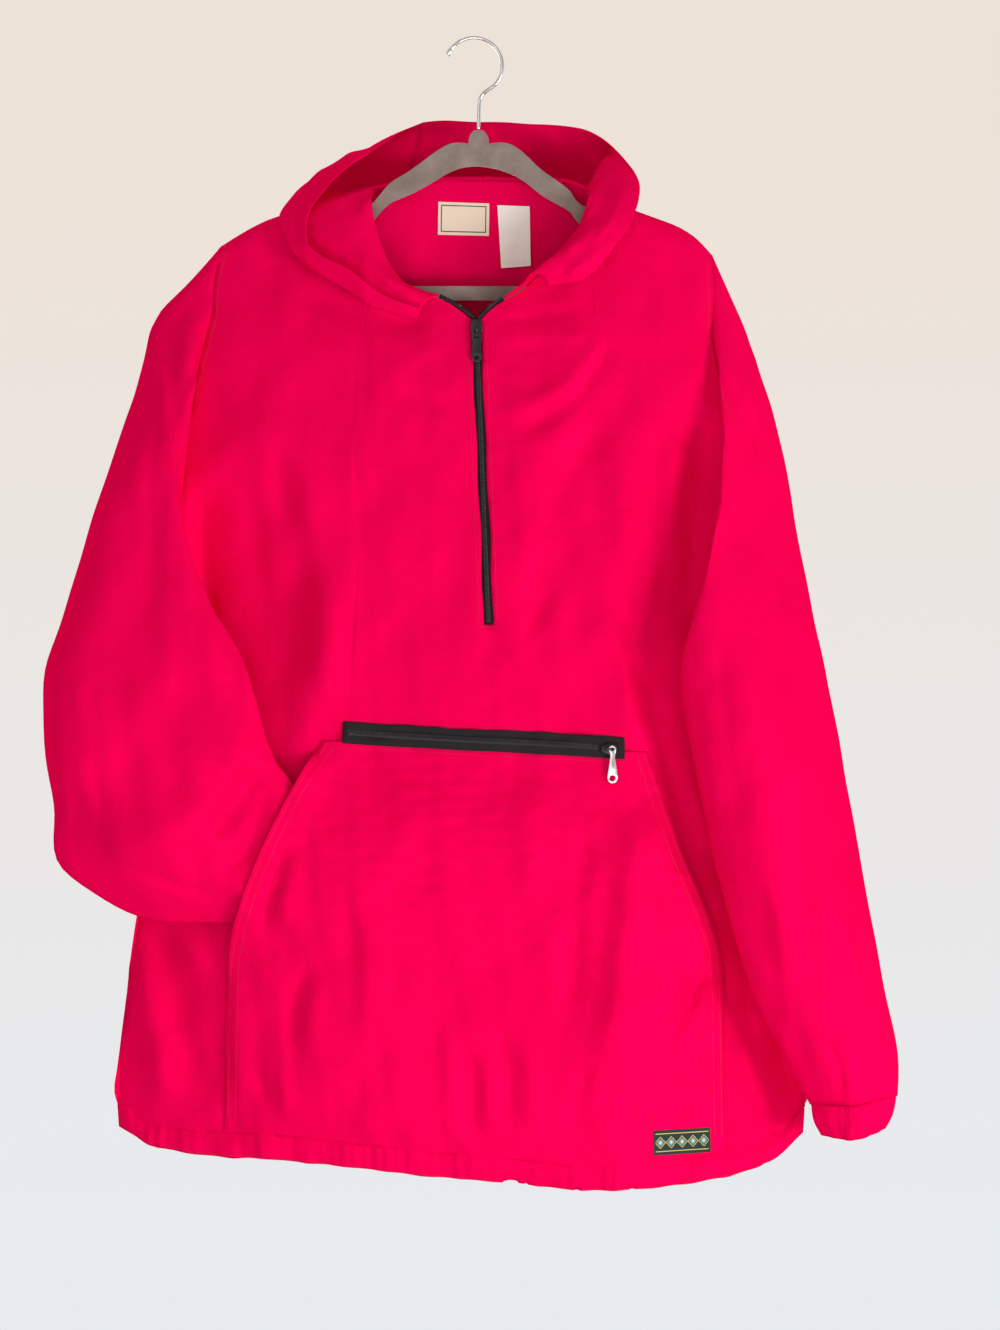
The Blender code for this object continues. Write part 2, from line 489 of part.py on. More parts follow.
def front_grid():
    """Plan of the front: left half, the zip slit's two edges, right half."""
    vs = PANEL_ROWS
    left = side_line(ARMHOLE_LEFT, SIDE_LEFT, vs)
    right = side_line(ARMHOLE_RIGHT, SIDE_RIGHT, vs)
    half = ZIP_WIDTH / 2 + SEAM
    mid = []
    for v in vs:
        z = ZIP_TOP[1] + (CENTRE_HEM[1] - ZIP_TOP[1]) * v
        if z > ZIP_END[1]:
            x = ZIP_TOP[0] + (ZIP_END[0] - ZIP_TOP[0]) * (ZIP_TOP[1] - z) / (ZIP_TOP[1] - ZIP_END[1])
        else:
            x = ZIP_END[0] + (CENTRE_HEM[0] - ZIP_END[0]) * (ZIP_END[1] - z) / (ZIP_END[1] - CENTRE_HEM[1])
        mid.append((x, z))
    mid = np.array(mid)
    mid_l, mid_r = mid - (half, 0), mid + (half, 0)
    shoulder_l = catmull(SHOULDER_LEFT, 7)
    shoulder_r = catmull(SHOULDER_RIGHT, 6)
    neck_l = np.array(NECK_FRONT_LEFT[1:-1] + [tuple(mid_l[0])])
    neck_r = np.array([tuple(mid_r[0])] + NECK_FRONT_RIGHT[1:-1])
    top_l = np.vstack([shoulder_l, neck_l])
    top_r = np.vstack([neck_r, shoulder_r])
    span_l = (top_l[:, 0] - top_l[0, 0]) / (top_l[-1, 0] - top_l[0, 0])
    span_r = (top_r[:, 0] - top_r[0, 0]) / (top_r[-1, 0] - top_r[0, 0])
    bottom_l = hem_point(0.55 * span_l + 0.45 * np.linspace(0, 1, len(span_l)), left[-1, 0], mid_l[-1, 0])
    bottom_r = hem_point(0.55 * span_r + 0.45 * np.linspace(0, 1, len(span_r)), mid_r[-1, 0], right[-1, 0])
    a = panel_patch(top_l, bottom_l, left, mid_l, vs)
    b = panel_patch(top_r, bottom_r, mid_r, right, vs)
    plan = np.concatenate([a, b], axis=1)
    slit = len(top_l) - 1
    keep = np.ones((len(vs) - 1, plan.shape[1] - 1), bool)
    end_row = int(np.argmin(np.abs(mid[:, 1] - ZIP_END[1])))
    keep[:end_row, slit] = False
    return plan, keep, float(mid[end_row, 1])


def back_grid():
    vs = PANEL_ROWS[list(range(8)) + list(range(8, 17)) + list(range(18, 31, 2)) + [31]]
    left = side_line(ARMHOLE_LEFT, SIDE_LEFT, vs)
    right = side_line(ARMHOLE_RIGHT, SIDE_RIGHT, vs)
    top = np.vstack([catmull(SHOULDER_LEFT, 6), NECK_BACK[1:-1], catmull(SHOULDER_RIGHT, 5)])
    span = (top[:, 0] - top[0, 0]) / (top[-1, 0] - top[0, 0])
    bottom = hem_point(span, left[-1, 0], right[-1, 0])
    return panel_patch(top, bottom, left, right, vs)


def lift_panel(plan, side):
    """Give a flat plan its depth; seams stop half a seam gap short of the middle plane."""
    y = front_y(plan[..., 0], plan[..., 1]) if side < 0 else back_y(plan[..., 0], plan[..., 1])
    y = np.where(np.abs(y) < SEAM / 2, side * SEAM / 2, y)
    top = plan[0, :, 0]
    shoulder = (top < NECK_BACK[0][0] + 0.01) | (top > NECK_BACK[-1][0] - 0.01)
    y[0, shoulder] = side * SEAM / 2
    return np.stack([plan[..., 0], y, plan[..., 1]], axis=-1)


def panel_inner(pts, side):
    """Inner face of a body panel; at the side and shoulder seams it steps in level."""
    n = grid_normals(pts, False)
    n *= np.where(n[..., 1:2] * side < 0, -1.0, 1.0)
    flat = np.abs(pts[..., 1]) < 1.0
    level = n * (1.0, 0.0, 1.0)
    level /= np.maximum(np.linalg.norm(level, axis=-1, keepdims=True), 1e-6)
    n = np.where(flat[..., None], level, n)
    inner = pts - CLOTH * n
    depth = np.maximum(inner[..., 1] * side, SEAM / 2)
    inner[..., 1] = side * np.where(flat, SEAM / 2, depth)
    return inner


class Face:
    """Depth of a built grid at any x, z: linear inside each of its triangles."""

    def __init__(self, pts):
        corners = [pts[:-1, :-1], pts[:-1, 1:], pts[1:, 1:], pts[1:, :-1]]
        a, b, c, d = (k.reshape(-1, 3) for k in corners)
        self.tris = np.concatenate([np.stack([a, b, c], 1), np.stack([a, c, d], 1)])
        p, q, r = self.tris[:, 0], self.tris[:, 1], self.tris[:, 2]
        self.det = ((q[:, 2] - r[:, 2]) * (p[:, 0] - r[:, 0])
                    + (r[:, 0] - q[:, 0]) * (p[:, 2] - r[:, 2]))
        self.det = np.where(np.abs(self.det) < 1e-9, 1e-9, self.det)

    def depth(self, x, z):
        p, q, r = self.tris[:, 0], self.tris[:, 1], self.tris[:, 2]
        u = ((q[:, 2] - r[:, 2]) * (x - r[:, 0]) + (r[:, 0] - q[:, 0]) * (z - r[:, 2])) / self.det
        v = ((r[:, 2] - p[:, 2]) * (x - r[:, 0]) + (p[:, 0] - r[:, 0]) * (z - r[:, 2])) / self.det
        w = 1 - u - v
        best = int(np.argmax(np.minimum(np.minimum(u, v), w)))
        return float(u[best] * p[best, 1] + v[best] * q[best, 1] + w[best] * r[best, 1])


def build_front(mat):
    plan, keep, slit_end = front_grid()
    pts = lift_panel(plan, -1)
    inner = panel_inner(pts, -1)
    cloth("front_panel", pts, mat, keep=keep, inner=inner)
    return pts, inner, slit_end


def build_back(mat):
    plan = back_grid()
    pts = lift_panel(plan, +1)
    inner = panel_inner(pts, +1)
    cloth("back_panel", pts, mat, inner=inner)
    return pts, inner


# ---- sleeves ------------------------------------------------------------------------------
SLEEVE_AROUND = 24
SLEEVE_ALONG = 20


def closed_section(o, f, i, b, count):
    """Closed smooth loop through the outer, front, inner and back guide points."""
    mid_of, mid_fi = (o + f) / 2, (f + i) / 2
    mid_ib, mid_bo = (i + b) / 2, (b + o) / 2
    centre = (o + f + i + b) / 4
    bulge = 1.24
    pts = [o, centre + (mid_of - centre) * bulge, f, centre + (mid_fi - centre) * bulge,
           i, centre + (mid_ib - centre) * bulge, b, centre + (mid_bo - centre) * bulge]
    pts = np.array(pts)
    n = len(pts)
    out = []
    for k in range(count):
        t = k * n / count
        s = int(t)
        t -= s
        p0, p1, p2, p3 = (pts[(s + d) % n] for d in (-1, 0, 1, 2))
        out.append(0.5 * (2 * p1 + (p2 - p0) * t + (2 * p0 - 5 * p1 + 4 * p2 - p3) * t ** 2
                          + (3 * p1 - p0 - 3 * p2 + p3) * t ** 3))
    return np.array(out)


def sleeve_rings(table, count, along):
    """Rings of a tube from its guide table, evenly spaced along it."""
    rows = np.array([[*r[0:1], r[2], r[1], r[3], r[5], r[4], r[6], r[8], r[7], r[9], r[11], r[10]]
                     for r in table])
    rows = catmull(rows, along) if len(table) > 2 else rows
    return np.array([closed_section(r[0:3], r[3:6], r[6:9], r[9:12], count) for r in rows])


def body_normal(x, z, side):
    """Outward unit normal of the body surface, from its slope."""
    step = 0.6
    depth = front_y if side < 0 else back_y
    dx = float(depth(x + step, z) - depth(x - step, z)) / (2 * step)
    dz = float(depth(x, z + step) - depth(x, z - step)) / (2 * step)
    n = np.array((-dx * side, float(side), -dz * side))
    return n / np.linalg.norm(n)


def along(line, at):
    """Points of a broken line at given fractions of its length."""
    run = np.concatenate([[0], np.cumsum(np.linalg.norm(np.diff(line, axis=0), axis=1))])
    return np.stack([np.interp(at * run[-1], run, line[:, c]) for c in range(line.shape[1])], 1)


def armhole_ring(edges, count, out_x):
    """Loop of the armhole seam, top, front, underarm, back, with its wall directions.

    edges: outer and inner armhole edges of the front and of the back panel, top down.
    """
    half = count // 2
    lines = {-1: edges[0][:, ARMHOLE_ROWS], 1: edges[1][:, ARMHOLE_ROWS]}
    ring, walls = [], []
    for k in range(count):
        j = k if k <= half else count - k
        side = -1 if 0 < k < half else (1 if k > half else 0)
        down, within = lines[side or -1]
        slope = np.gradient(down[:, (0, 2)], axis=0)
        x, y, z = down[j]
        out = np.array((-slope[j][1], slope[j][0]))
        out *= math.copysign(1.0, out[0] * out_x) / np.linalg.norm(out)
        if side == 0:
            up = 1.0 if k == 0 else -1.0
            wall = np.array((0.55 * out_x, 0.0, 0.835 * up))
            start = np.array((x, 0.0, z)) + SLEEVE_SEAM * wall
        else:
            wall = (down[j] - within[j]) / CLOTH
            start = np.array((x, y, z)) + SLEEVE_SEAM * np.array((out[0], 0.0, out[1]))
        ring.append(start)
        walls.append(wall)
    return np.array(ring), np.array(walls)


SLEEVE_SEAM = 0.7      # seam gap of a sleeve at its armhole
ARMHOLE_ROWS = [0, 4, 6, 7, 8, 9, 10, 11, 12, 13, 14, 15, 16]    # panel rows its ring meets


def hold_off_body(ring, margin, column, out_x):
    """Points of a ring that cross the body's side stay in front of the front panel."""
    out = ring.copy()
    for k, (x, y, z) in enumerate(ring):
        side_x, = smooth_table(BODY, z, (column,))
        over = (x - float(side_x)) * -out_x
        limit = float(front_y(x, z)) - margin
        share = ease((over + 7.0) / 8.0)
        if y > limit and share > 0:
            out[k, 1] = y + (limit - y) * share
    return out


def build_sleeve(name, table, edges, out_x, folds, mat):
    first, walls = armhole_ring(edges, SLEEVE_AROUND, out_x)
    half, quarter = SLEEVE_AROUND // 2, SLEEVE_AROUND // 4
    start = []
    for k in (0, quarter, half, half + quarter):
        start += [first[k][0], first[k][2], first[k][1]]
    rings = sleeve_rings([tuple(start)] + table, SLEEVE_AROUND, SLEEVE_ALONG)
    fade = ease(1 - np.arange(len(rings)) / 4.0)
    rings = rings + (first - rings[0])[None] * fade[:, None, None]
    column = 1 if out_x < 0 else 2
    for i in range(1, len(rings)):
        low = rings[i][:, 2] < edges[0][0][-1][2] + 14.0
        held = hold_off_body(rings[i], CLOTH + 1.2, column, out_x)
        rings[i] = np.where(low[:, None], held, rings[i])
    normals = grid_normals(rings, True)
    outward = np.sum(normals * (rings - rings.mean(axis=1, keepdims=True)), axis=2)
    sign = -1.0 if np.mean(outward) < 0 else 1.0
    count = np.arange(len(rings))
    fade = ease((count - 2) / 4.0) * ease((len(rings) - 1 - count) / 3.0)
    facing = np.clip(-sign * normals[..., 1], 0, 1)
    height = fold_height(rings[..., 0], rings[..., 2], folds) * fade[:, None] * facing
    rings = rings + sign * normals * height[..., None]
    normals = sign * grid_normals(rings, True)
    normals[0] = walls
    normals = calm(normals, True)
    normals[0] = walls
    cloth(name, rings, mat, closed=True, inner=rings - CLOTH * normals)
    return rings


CUFF_WAVE_REACH = 15.0      # the gathers stay shallow at the flat ends of the opening


def build_cuff(name, table, mat):
    """Elastic casing at the wrist: a short tube with gather waves."""
    count = CUFF_GATHERS * 4
    rows = 3
    ends = sleeve_rings(table, count, 2)
    rings = []
    for i in range(rows):
        t = i / (rows - 1)
        ring = ends[0] * (1 - t) + ends[1] * t
        centre = ring.mean(axis=0)
        swell = 0.07 * math.sin(math.pi * t)
        wave = np.array([0.045 * math.cos(math.pi / 2 * k) * (0.25 + 0.75 * t) for k in range(count)])
        reach = np.linalg.norm(ring - centre, axis=1)
        wave = wave * np.minimum(1.0, CUFF_WAVE_REACH / reach)
        rings.append(centre + (ring - centre) * (1 + swell + wave)[:, None])
    rings = np.array(rings)
    centre = rings.mean(axis=1, keepdims=True)
    half = np.abs(rings - centre).max(axis=1, keepdims=True)
    wide = np.hypot(half[..., 0], half[..., 2])[..., None]
    # The wall is doubled at the flat ends of the opening, where the casing folds on itself.
    shrink = 1 - np.concatenate([2 * CLOTH / wide, CLOTH / half[..., 1:2], 2 * CLOTH / wide], axis=2)
    cloth(name, rings, mat, closed=True, inner=centre + (rings - centre) * shrink)
    return rings


# ---- hem band --------------------------------------------------------------------------------
def build_hem(front_edge, back_edge, mat):
    """Elastic casing round the lower edge, one closed ring with gather waves.

    front_edge, back_edge: lower edges of the two panels, x and z, left to right.
    """
    count = HEM_GATHERS * 4
    half = count // 2
    x0, x1 = HEM_TOP[0][0], HEM_TOP[-1][0]
    rings = []
    for t in (0.0, 0.5, 1.0):
        ring = []
        for k in range(count):
            side = -1 if k < half else 1
            f = (k if k < half else count - k) / half
            x = x0 + (x1 - x0) * f
            edge = front_edge if side < 0 else back_edge
            z = float(np.interp(x, edge[:, 0], edge[:, 1]))
            y = float(front_y(x, z) if side < 0 else back_y(x, z))
            uneven = 1 + 0.5 * math.sin(2.3 * k) + 0.35 * math.sin(0.61 * k + 1.0)
            at_side = 0.7 + 0.6 * abs(2 * f - 1) ** 3
            wave = math.cos(math.pi / 2 * k) * uneven * at_side
            swell = math.sin(math.pi * min(1.0, t * 1.1)) * 2.2
            corner = 1.2 * abs(2 * f - 1) ** 6
            drop = HEM_BAND * t + SEAM + 0.15 + corner + 0.45 * wave * t
            tuck = 1.5 * t * (2 * f - 1) ** 3
            y_out = side * (0.9 * wave * (0.3 + 0.7 * t) + swell)
            if abs(y) < 1.0:
                y_out = 0.0
            ring.append((x - tuck, y + y_out, z - drop))
        rings.append(ring)
    rings = np.array(rings)
    normals = grid_normals(rings, True)
    sign = -1.0 if np.mean(normals[..., 1] * np.sign(rings[..., 1])) < 0 else 1.0
    cloth("hem_band", rings, mat, inward=-sign, closed=True)


# ---- hood ---------------------------------------------------------------------------------------
def neck_seam(at):
    """Neck seam of the hood and the direction away from the panels' edge, at each place."""
    front_l = np.array(NECK_FRONT_LEFT[:7])[::-1]
    front_r = np.array(NECK_FRONT_RIGHT[2:])[::-1]
    back = np.array(NECK_BACK)
    loop = np.vstack([front_l, back[1:-1], front_r])
    sides = [-1] * (len(front_l) - 1) + [0] + [1] * (len(back) - 2) + [0] + [-1] * (len(front_r) - 1)
    step = np.gradient(loop, axis=0)
    rows = []
    for (x, z), side, (dx, dz) in zip(loop, sides, step):
        y = 0.0 if side == 0 else float(front_y(x, z) if side < 0 else back_y(x, z))
        length = math.hypot(dx, dz)
        # Walking left front, back, right front the opening lies on the right of the front
        # edges, and above the back one.
        out = (dz / length, -dx / length) if side < 0 else (-dz / length, dx / length)
        if side == 0:
            out = (0.7 if x < 0 else -0.7, 0.7)
        start = HOOD_SEAM * np.array((out[0], -0.9 if side < 0 else 0.0, out[1]))
        rise = np.array((out[0], 0.0, out[1])) * (1.0 if side < 0 else 3.0)
        if side < 0:
            rise = rise + 2.6 * body_normal(x, z, side)
        rows.append((x, y, z, *start, *rise))
    seam = along(np.array(rows), at)
    return seam[:, :3], seam[:, 3:6], seam[:, 6:]


def body_top(x, side):
    """Height of the body's upper edge at x: shoulder line, or the neckline between them."""
    if NECK_BACK[0][0] < x < NECK_BACK[-1][0]:
        line = np.array(NECK_BACK if side > 0 else NECK_FRONT_LEFT + NECK_FRONT_RIGHT)
        return float(np.interp(x, line[:, 0], line[:, 1]))
    return float(top_line(x))


def hood_grid(ats):
    neck, away, rise = neck_seam(ats)
    values = smooth_table(HOOD, ats, range(1, 13))
    guides = np.stack(values, axis=1).reshape(len(ats), 4, 3)
    grid = []
    for n, out, up, g in zip(neck, away, rise, guides):
        start = n + out
        lift = start + up
        grid.append(np.vstack([start, catmull([lift, *g], HOOD_ROWS - 1)]))
    return np.array(grid).transpose(1, 0, 2)


def hold_off_shoulders(pts, ats):
    """Keep the hood outside the body: in front of it at the sides, behind it at the back."""
    out = pts.copy()
    rise = 2.5
    for j, at in enumerate(ats):
        side = 1 if HOOD_BACK[0] < at < HOOD_BACK[1] else -1
        for i in range(1, len(pts)):
            x, y, z = pts[i, j]
            if z < body_top(x, side) + rise:
                room = (CLOTH + 1.3) * min(1.0, i / 2.0)
                reach = float(half_depth(x, z - rise, side)) + room
                out[i, j, 1] = side * max(side * y, reach)
    return out


HOOD_BACK = (0.355, 0.721)     # stations whose cloth hangs behind the shoulders
HOOD_SEAM = 0.6               # seam gap of the hood along the neckline


def build_hood(mat):
    half = HOOD_COLUMNS // 2
    ats = np.linspace(0, 1, HOOD_COLUMNS)
    pts = hold_off_shoulders(hood_grid(ats), ats)
    inner = pts + CLOTH * calm(grid_normals(pts, False), False)
    across = np.gradient(pts, axis=1)[:, half]
    across = across / np.linalg.norm(across, axis=1, keepdims=True)
    for name, cut, shift in (("hood_left", slice(0, half + 1), -1.0 * SEAM),
                             ("hood_right", slice(half, None), SEAM)):
        edge = -1 if shift < 0 else 0
        out_side, in_side = pts[:, cut].copy(), inner[:, cut].copy()
        out_side[:, edge] += shift * across
        in_side[:, edge] += shift * across
        cloth(name, out_side, mat, inner=in_side)
    return pts


# ---- pouch ---------------------------------------------------------------------------------------
def pouch_place(x, z):
    """Where a point of the front lies in the pouch: across u, down v, both 0 to 1."""
    v = 0.5
    for _ in range(8):
        xl, zl, xr, zr = (float(c) for c in smooth_table(POUCH, v, (1, 2, 3, 4)))
        u = (x - xl) / (xr - xl)
        gap = (zl + (zr - zl) * u) - z
        v = min(max(v + gap / 345.0, -0.2), 1.2)
        if v < 0.0 or v > 1.0:
            break
    return u, v


def pouch_lift(u, v):
    """Distance of the pouch from the front: sewn at top and bottom, open at the sides."""
    sides = math.sin(math.pi * min(max(u, 0.0), 1.0)) ** 0.6
    ends = float(ease(v / 0.26) * ease((1.0 - v) / 0.20))
    mouth = float(ease((v - 0.03) / 0.12) * ease((0.60 - v) / 0.10))
    return CLOTH + LAY + POUCH_LIFT * ends * (sides + 0.5 * mouth * (1 - sides))


def build_pouch(front, tucked, mat):
    """Panel of the kangaroo pocket; it drapes over what is tucked into it."""
    vs = [0.0, 0.03, 0.08, 0.14, 0.20, 0.27, 0.34, 0.42, 0.50, 0.58, 0.67, 0.77, 0.87, 0.94, 1.0]
    us = [0.0, 0.03, 0.08, 0.14, 0.21, 0.29, 0.38, 0.47, 0.56, 0.65, 0.73, 0.80, 0.87, 0.93, 1.0]
    pts = np.zeros((len(vs), len(us), 3))
    extra = np.zeros((len(vs), len(us)))
    for i, v in enumerate(vs):
        xl, zl, xr, zr = (float(c) for c in smooth_table(POUCH, v, (1, 2, 3, 4)))
        for j, u in enumerate(us):
            x = xl + (xr - xl) * u
            z = zl + (zr - zl) * u
            if v > 0.6:
                hem, = smooth_table(HEM_TOP, x, (1,))
                z = z + (float(hem) + 1.5 - z) * float(ease((v - 0.6) / 0.4))
            away = np.hypot(tucked[:, 0] - x, tucked[:, 2] - z)
            near = tucked[away < 26.0]
            y = front.depth(x, z) - pouch_lift(u, v)
            if len(near):
                reach = np.max(-near[:, 1] - 0.02 * away[away < 26.0] ** 1.6)
                extra[i, j] = max(0.0, y + reach + POUCH_CLEAR)
            pts[i, j] = (x, y - CLOTH, z)
    spread = extra.copy()
    spread[1:-1, 1:-1] = np.maximum(extra[1:-1, 1:-1], 0.25 * (extra[:-2, 1:-1] + extra[2:, 1:-1]
                                                               + extra[1:-1, :-2] + extra[1:-1, 2:]))
    spread[1:-1, 0] = extra[1:-1, 0]
    spread[0], spread[-1] = 0.0, 0.0
    pts[..., 1] -= spread
    inner = pts + CLOTH * grid_normals(pts, False)
    cloth("pouch", pts, mat, inner=inner)
    return pts


POUCH_CLEAR = 1.6       # clear room between the tucked cuff and the pouch


# ---- flat hardware ---------------------------------------------------------------------------------
def plate(name, outline, holes, at, thick, mat, origin=(0.0, 0.0, 0.0)):
    """A flat plate in the x, z plane from an outline and its holes; at is its front face."""
    bm = bmesh.new()
    for loop in [outline] + holes:
        ring = [bm.verts.new((x, at, z)) for x, z in loop]
        for p, q in zip(ring, ring[1:] + ring[:1]):
            bm.edges.new((p, q))
    bmesh.ops.triangle_fill(bm, use_beauty=True, edges=bm.edges[:])
    made = bmesh.ops.extrude_face_region(bm, geom=bm.faces[:])
    moved = [v for v in made["geom"] if isinstance(v, bmesh.types.BMVert)]
    bmesh.ops.translate(bm, verts=moved, vec=(0.0, thick, 0.0))
    bm.verts.index_update()
    verts = [tuple(v.co) for v in bm.verts]
    faces = [[v.index for v in f.verts] for f in bm.faces]
    bm.free()
    return make_object(name, verts, faces, mat, origin)


def circle(x, z, radius, count=16, squash=1.0):
    return [(x + radius * math.cos(2 * math.pi * k / count),
             z + squash * radius * math.sin(2 * math.pi * k / count)) for k in range(count)]


def fuse(target, other):
    """Join a helper solid into another with an exact Boolean."""
    other.hide_render = True
    other.display_type = "WIRE"
    join = target.modifiers.new("bridge", "BOOLEAN")
    join.operation = "UNION"
    join.solver = "EXACT"
    join.object = other


def prism_yz(name, outline, x0, x1, mat):
    """A bar across x from an outline in the y, z plane."""
    n = len(outline)
    verts = [(x0, y, z) for y, z in outline] + [(x1, y, z) for y, z in outline]
    faces = [tuple(range(n)), tuple(range(2 * n - 1, n - 1, -1))]
    faces += [(k, (k + 1) % n, n + (k + 1) % n, n + k) for k in range(n)]
    return make_object(name, verts, faces, mat)


def bridge_outline(base, height, thick, span, bar):
    """Arch of a slider's bridge: depth from its plate, then along the slider."""
    half = span / 2
    return [(base + 0.6, -half - bar), (base - height, -half - bar),
            (base - height - thick, -half), (base - height - thick, half),
            (base - height, half + bar), (base + 0.6, half + bar), (base + 0.6, half),
            (base - height, half), (base - height, -half), (base + 0.6, -half)]


def slider_outline(x, z, half_w, half_h):
    """Shield shape of a zip slider, wide at the top."""
    return [(x - 0.8 * half_w, z + half_h), (x + 0.8 * half_w, z + half_h),
            (x + half_w, z + 0.55 * half_h), (x + half_w, z - 0.1 * half_h),
            (x + 0.62 * half_w, z - 0.8 * half_h), (x + 0.4 * half_w, z - half_h),
            (x - 0.4 * half_w, z - half_h), (x - 0.62 * half_w, z - 0.8 * half_h),
            (x - half_w, z - 0.1 * half_h), (x - half_w, z + 0.55 * half_h)]


# ---- front zip -----------------------------------------------------------------------------------------
ZIP_ARMS = [
    # left edge, left tooth line, right tooth line, right edge: x and z of each
    (-30.6, -229.0, -29.0, -225.9, 23.6, -227.4, 25.6, -230.2),
    (-14.6, -237.4, -12.8, -234.6, 13.4, -234.8, 15.7, -237.4),
    (-2.0, -247.0, 0.8, -244.4, 3.4, -244.4, 6.0, -247.0),
]
SLIDER_Z = -256.0
SLIDER_HALF = (5.2, 8.4)
SLIDER_THICK = 2.2
TAB_HALF_THICK = 0.7
BRIDGE_ROOM = 1.6       # from a slider's plate to the middle of the tab's crossbar


def zip_line(z):
    return ZIP_TOP[0] + (ZIP_END[0] - ZIP_TOP[0]) * (ZIP_TOP[1] - z) / (ZIP_TOP[1] - ZIP_END[1])


def build_front_zip(mat):
    """Both tapes with the closed teeth between them, parted above the slider."""
    rows, keep = [], []
    for arm in ZIP_ARMS:
        pts = [(arm[k], arm[k + 1]) for k in (0, 2, 4, 6)]
        rows.append([(x, front_face.depth(x, z) + 0.35, z) for x, z in pts])
        keep.append([True, False, True])
    for z in np.concatenate([[-252.5], np.linspace(-262.0, SLIT_END + 0.6, 16)]):
        mid = zip_line(z)
        y = front_face.depth(mid, z) + 0.35
        rows.append([(mid + dx, y - (0.35 if abs(dx) < 1 else 0.0), z)
                     for dx in (-ZIP_WIDTH / 2, -0.9, 0.9, ZIP_WIDTH / 2)])
        keep.append([True, True, True])
    cloth("front_zip_tape", np.array(rows), mat, wall=ZIP_THICK, keep=np.array(keep[:-1]))


def build_front_slider(mat):
    x, z = zip_line(SLIDER_Z), SLIDER_Z
    face = min(front_face.depth(x, zz) for zz in (z - 8, z, z + 7)) - 0.45 - SLIDER_THICK
    body = plate("front_zip_slider", slider_outline(x, z, *SLIDER_HALF), [], face,
                 SLIDER_THICK, mat)
    room = BRIDGE_ROOM + 1.5
    arch = bridge_outline(face, room, 0.9, 4.4, 1.1)
    fuse(body, prism_yz("front_zip_bridge", [(y, z + dz) for y, dz in arch], x - 1.1, x + 1.1, mat))
    return x, face - BRIDGE_ROOM, z


def build_front_pull(pivot, mat):
    """Flat pull tab hung by its crossbar under the bridge."""
    x, y, z = pivot
    outline = [(x - 3.4, z + 0.9), (x + 3.4, z + 0.9), (x + 4.4, z - 1.0), (x + 4.4, z - 9.0),
               (x + 3.7, z - 12.0), (x + 4.4, z - 20.0), (x + 4.7, z - 25.0), (x + 3.6, z - 28.0),
               (x + 1.4, z - 29.2), (x - 1.4, z - 29.2), (x - 3.6, z - 28.0), (x - 4.7, z - 25.0),
               (x - 4.4, z - 20.0), (x - 3.7, z - 12.0), (x - 4.4, z - 9.0), (x - 4.4, z - 1.0)]
    slot = [(x - 1.9, z - 0.9), (x + 1.9, z - 0.9), (x + 1.9, z - 7.8), (x - 1.9, z - 7.8)]
    eye = circle(x, z - 25.2, 1.8, 10)
    plate("front_zip_pull", outline, [slot, eye], y - TAB_HALF_THICK, 2 * TAB_HALF_THICK, mat,
          origin=pivot)


# ---- pocket zip ------------------------------------------------------------------------------------------
POCKET_ZIP = [(-115.0, -601.0), (-60.0, -604.5), (0.0, -608.0), (66.0, -611.0), (132.0, -615.0)]
POCKET_SLIDER = (119.0, -625.0)
POCKET_SLIDER_HALF = (7.0, 5.2)
PEG_OFFSET = 2.6        # each leg of the pocket slider's bridge from its middle


def over_pouch(x, z):
    """Outer face of whatever lies on the front here: panel alone, or the pouch."""
    u, v = pouch_place(x, z)
    if 0.0 <= u <= 1.0 and v > -0.012:
        return min(pouch_face.depth(x, z), front_face.depth(x, z))
    return front_face.depth(x, z)


def build_pocket_zip(mat):
    """Tape band over the top edge of the pouch, following its rise."""
    line = catmull(POCKET_ZIP, 19)
    rows = []
    for t in (0.0, 0.34, 0.5, 0.75, 1.0):
        row = []
        for x, z in line:
            zz = z - POCKET_ZIP_HEIGHT * t
            step = min(over_pouch(x, zz), over_pouch(x, zz - 3.0) if t > 0 else 0.0)
            row.append((x, step - LAY - 1.3, zz))
        rows.append(row)
    cloth("pocket_zip_tape", np.array(rows), mat, wall=1.3)


def build_pocket_slider(mat):
    x, z = POCKET_SLIDER
    spots = [over_pouch(x + dx, z + dz) for dx in (-7, 0, 7) for dz in (-6, 0, 6)]
    face = min(spots) - LAY - 1.3 - 0.4 - SLIDER_THICK
    shape = [(x + dz, z + dx) for dx, dz in slider_outline(0.0, 0.0, POCKET_SLIDER_HALF[1],
                                                           POCKET_SLIDER_HALF[0])]
    body = plate("pocket_zip_slider", shape, [], face, SLIDER_THICK, mat)
    room = BRIDGE_ROOM + 1.2
    leg = 0.8
    arch = [(x - PEG_OFFSET - leg, face + 0.6), (x - PEG_OFFSET - leg, face - room - 0.9),
            (x + PEG_OFFSET + leg, face - room - 0.9), (x + PEG_OFFSET + leg, face + 0.6),
            (x + PEG_OFFSET - leg, face + 0.6), (x + PEG_OFFSET - leg, face - room),
            (x - PEG_OFFSET + leg, face - room), (x - PEG_OFFSET + leg, face + 0.6)]
    n = len(arch)
    verts = [(px, py, z - leg) for px, py in arch] + [(px, py, z + leg) for px, py in arch]
    faces = [tuple(range(n)), tuple(range(2 * n - 1, n - 1, -1))]
    faces += [(k, (k + 1) % n, n + (k + 1) % n, n + k) for k in range(n)]
    fuse(body, make_object("pocket_zip_bridge", verts, faces, mat))
    return x + PEG_OFFSET, face - BRIDGE_ROOM, z


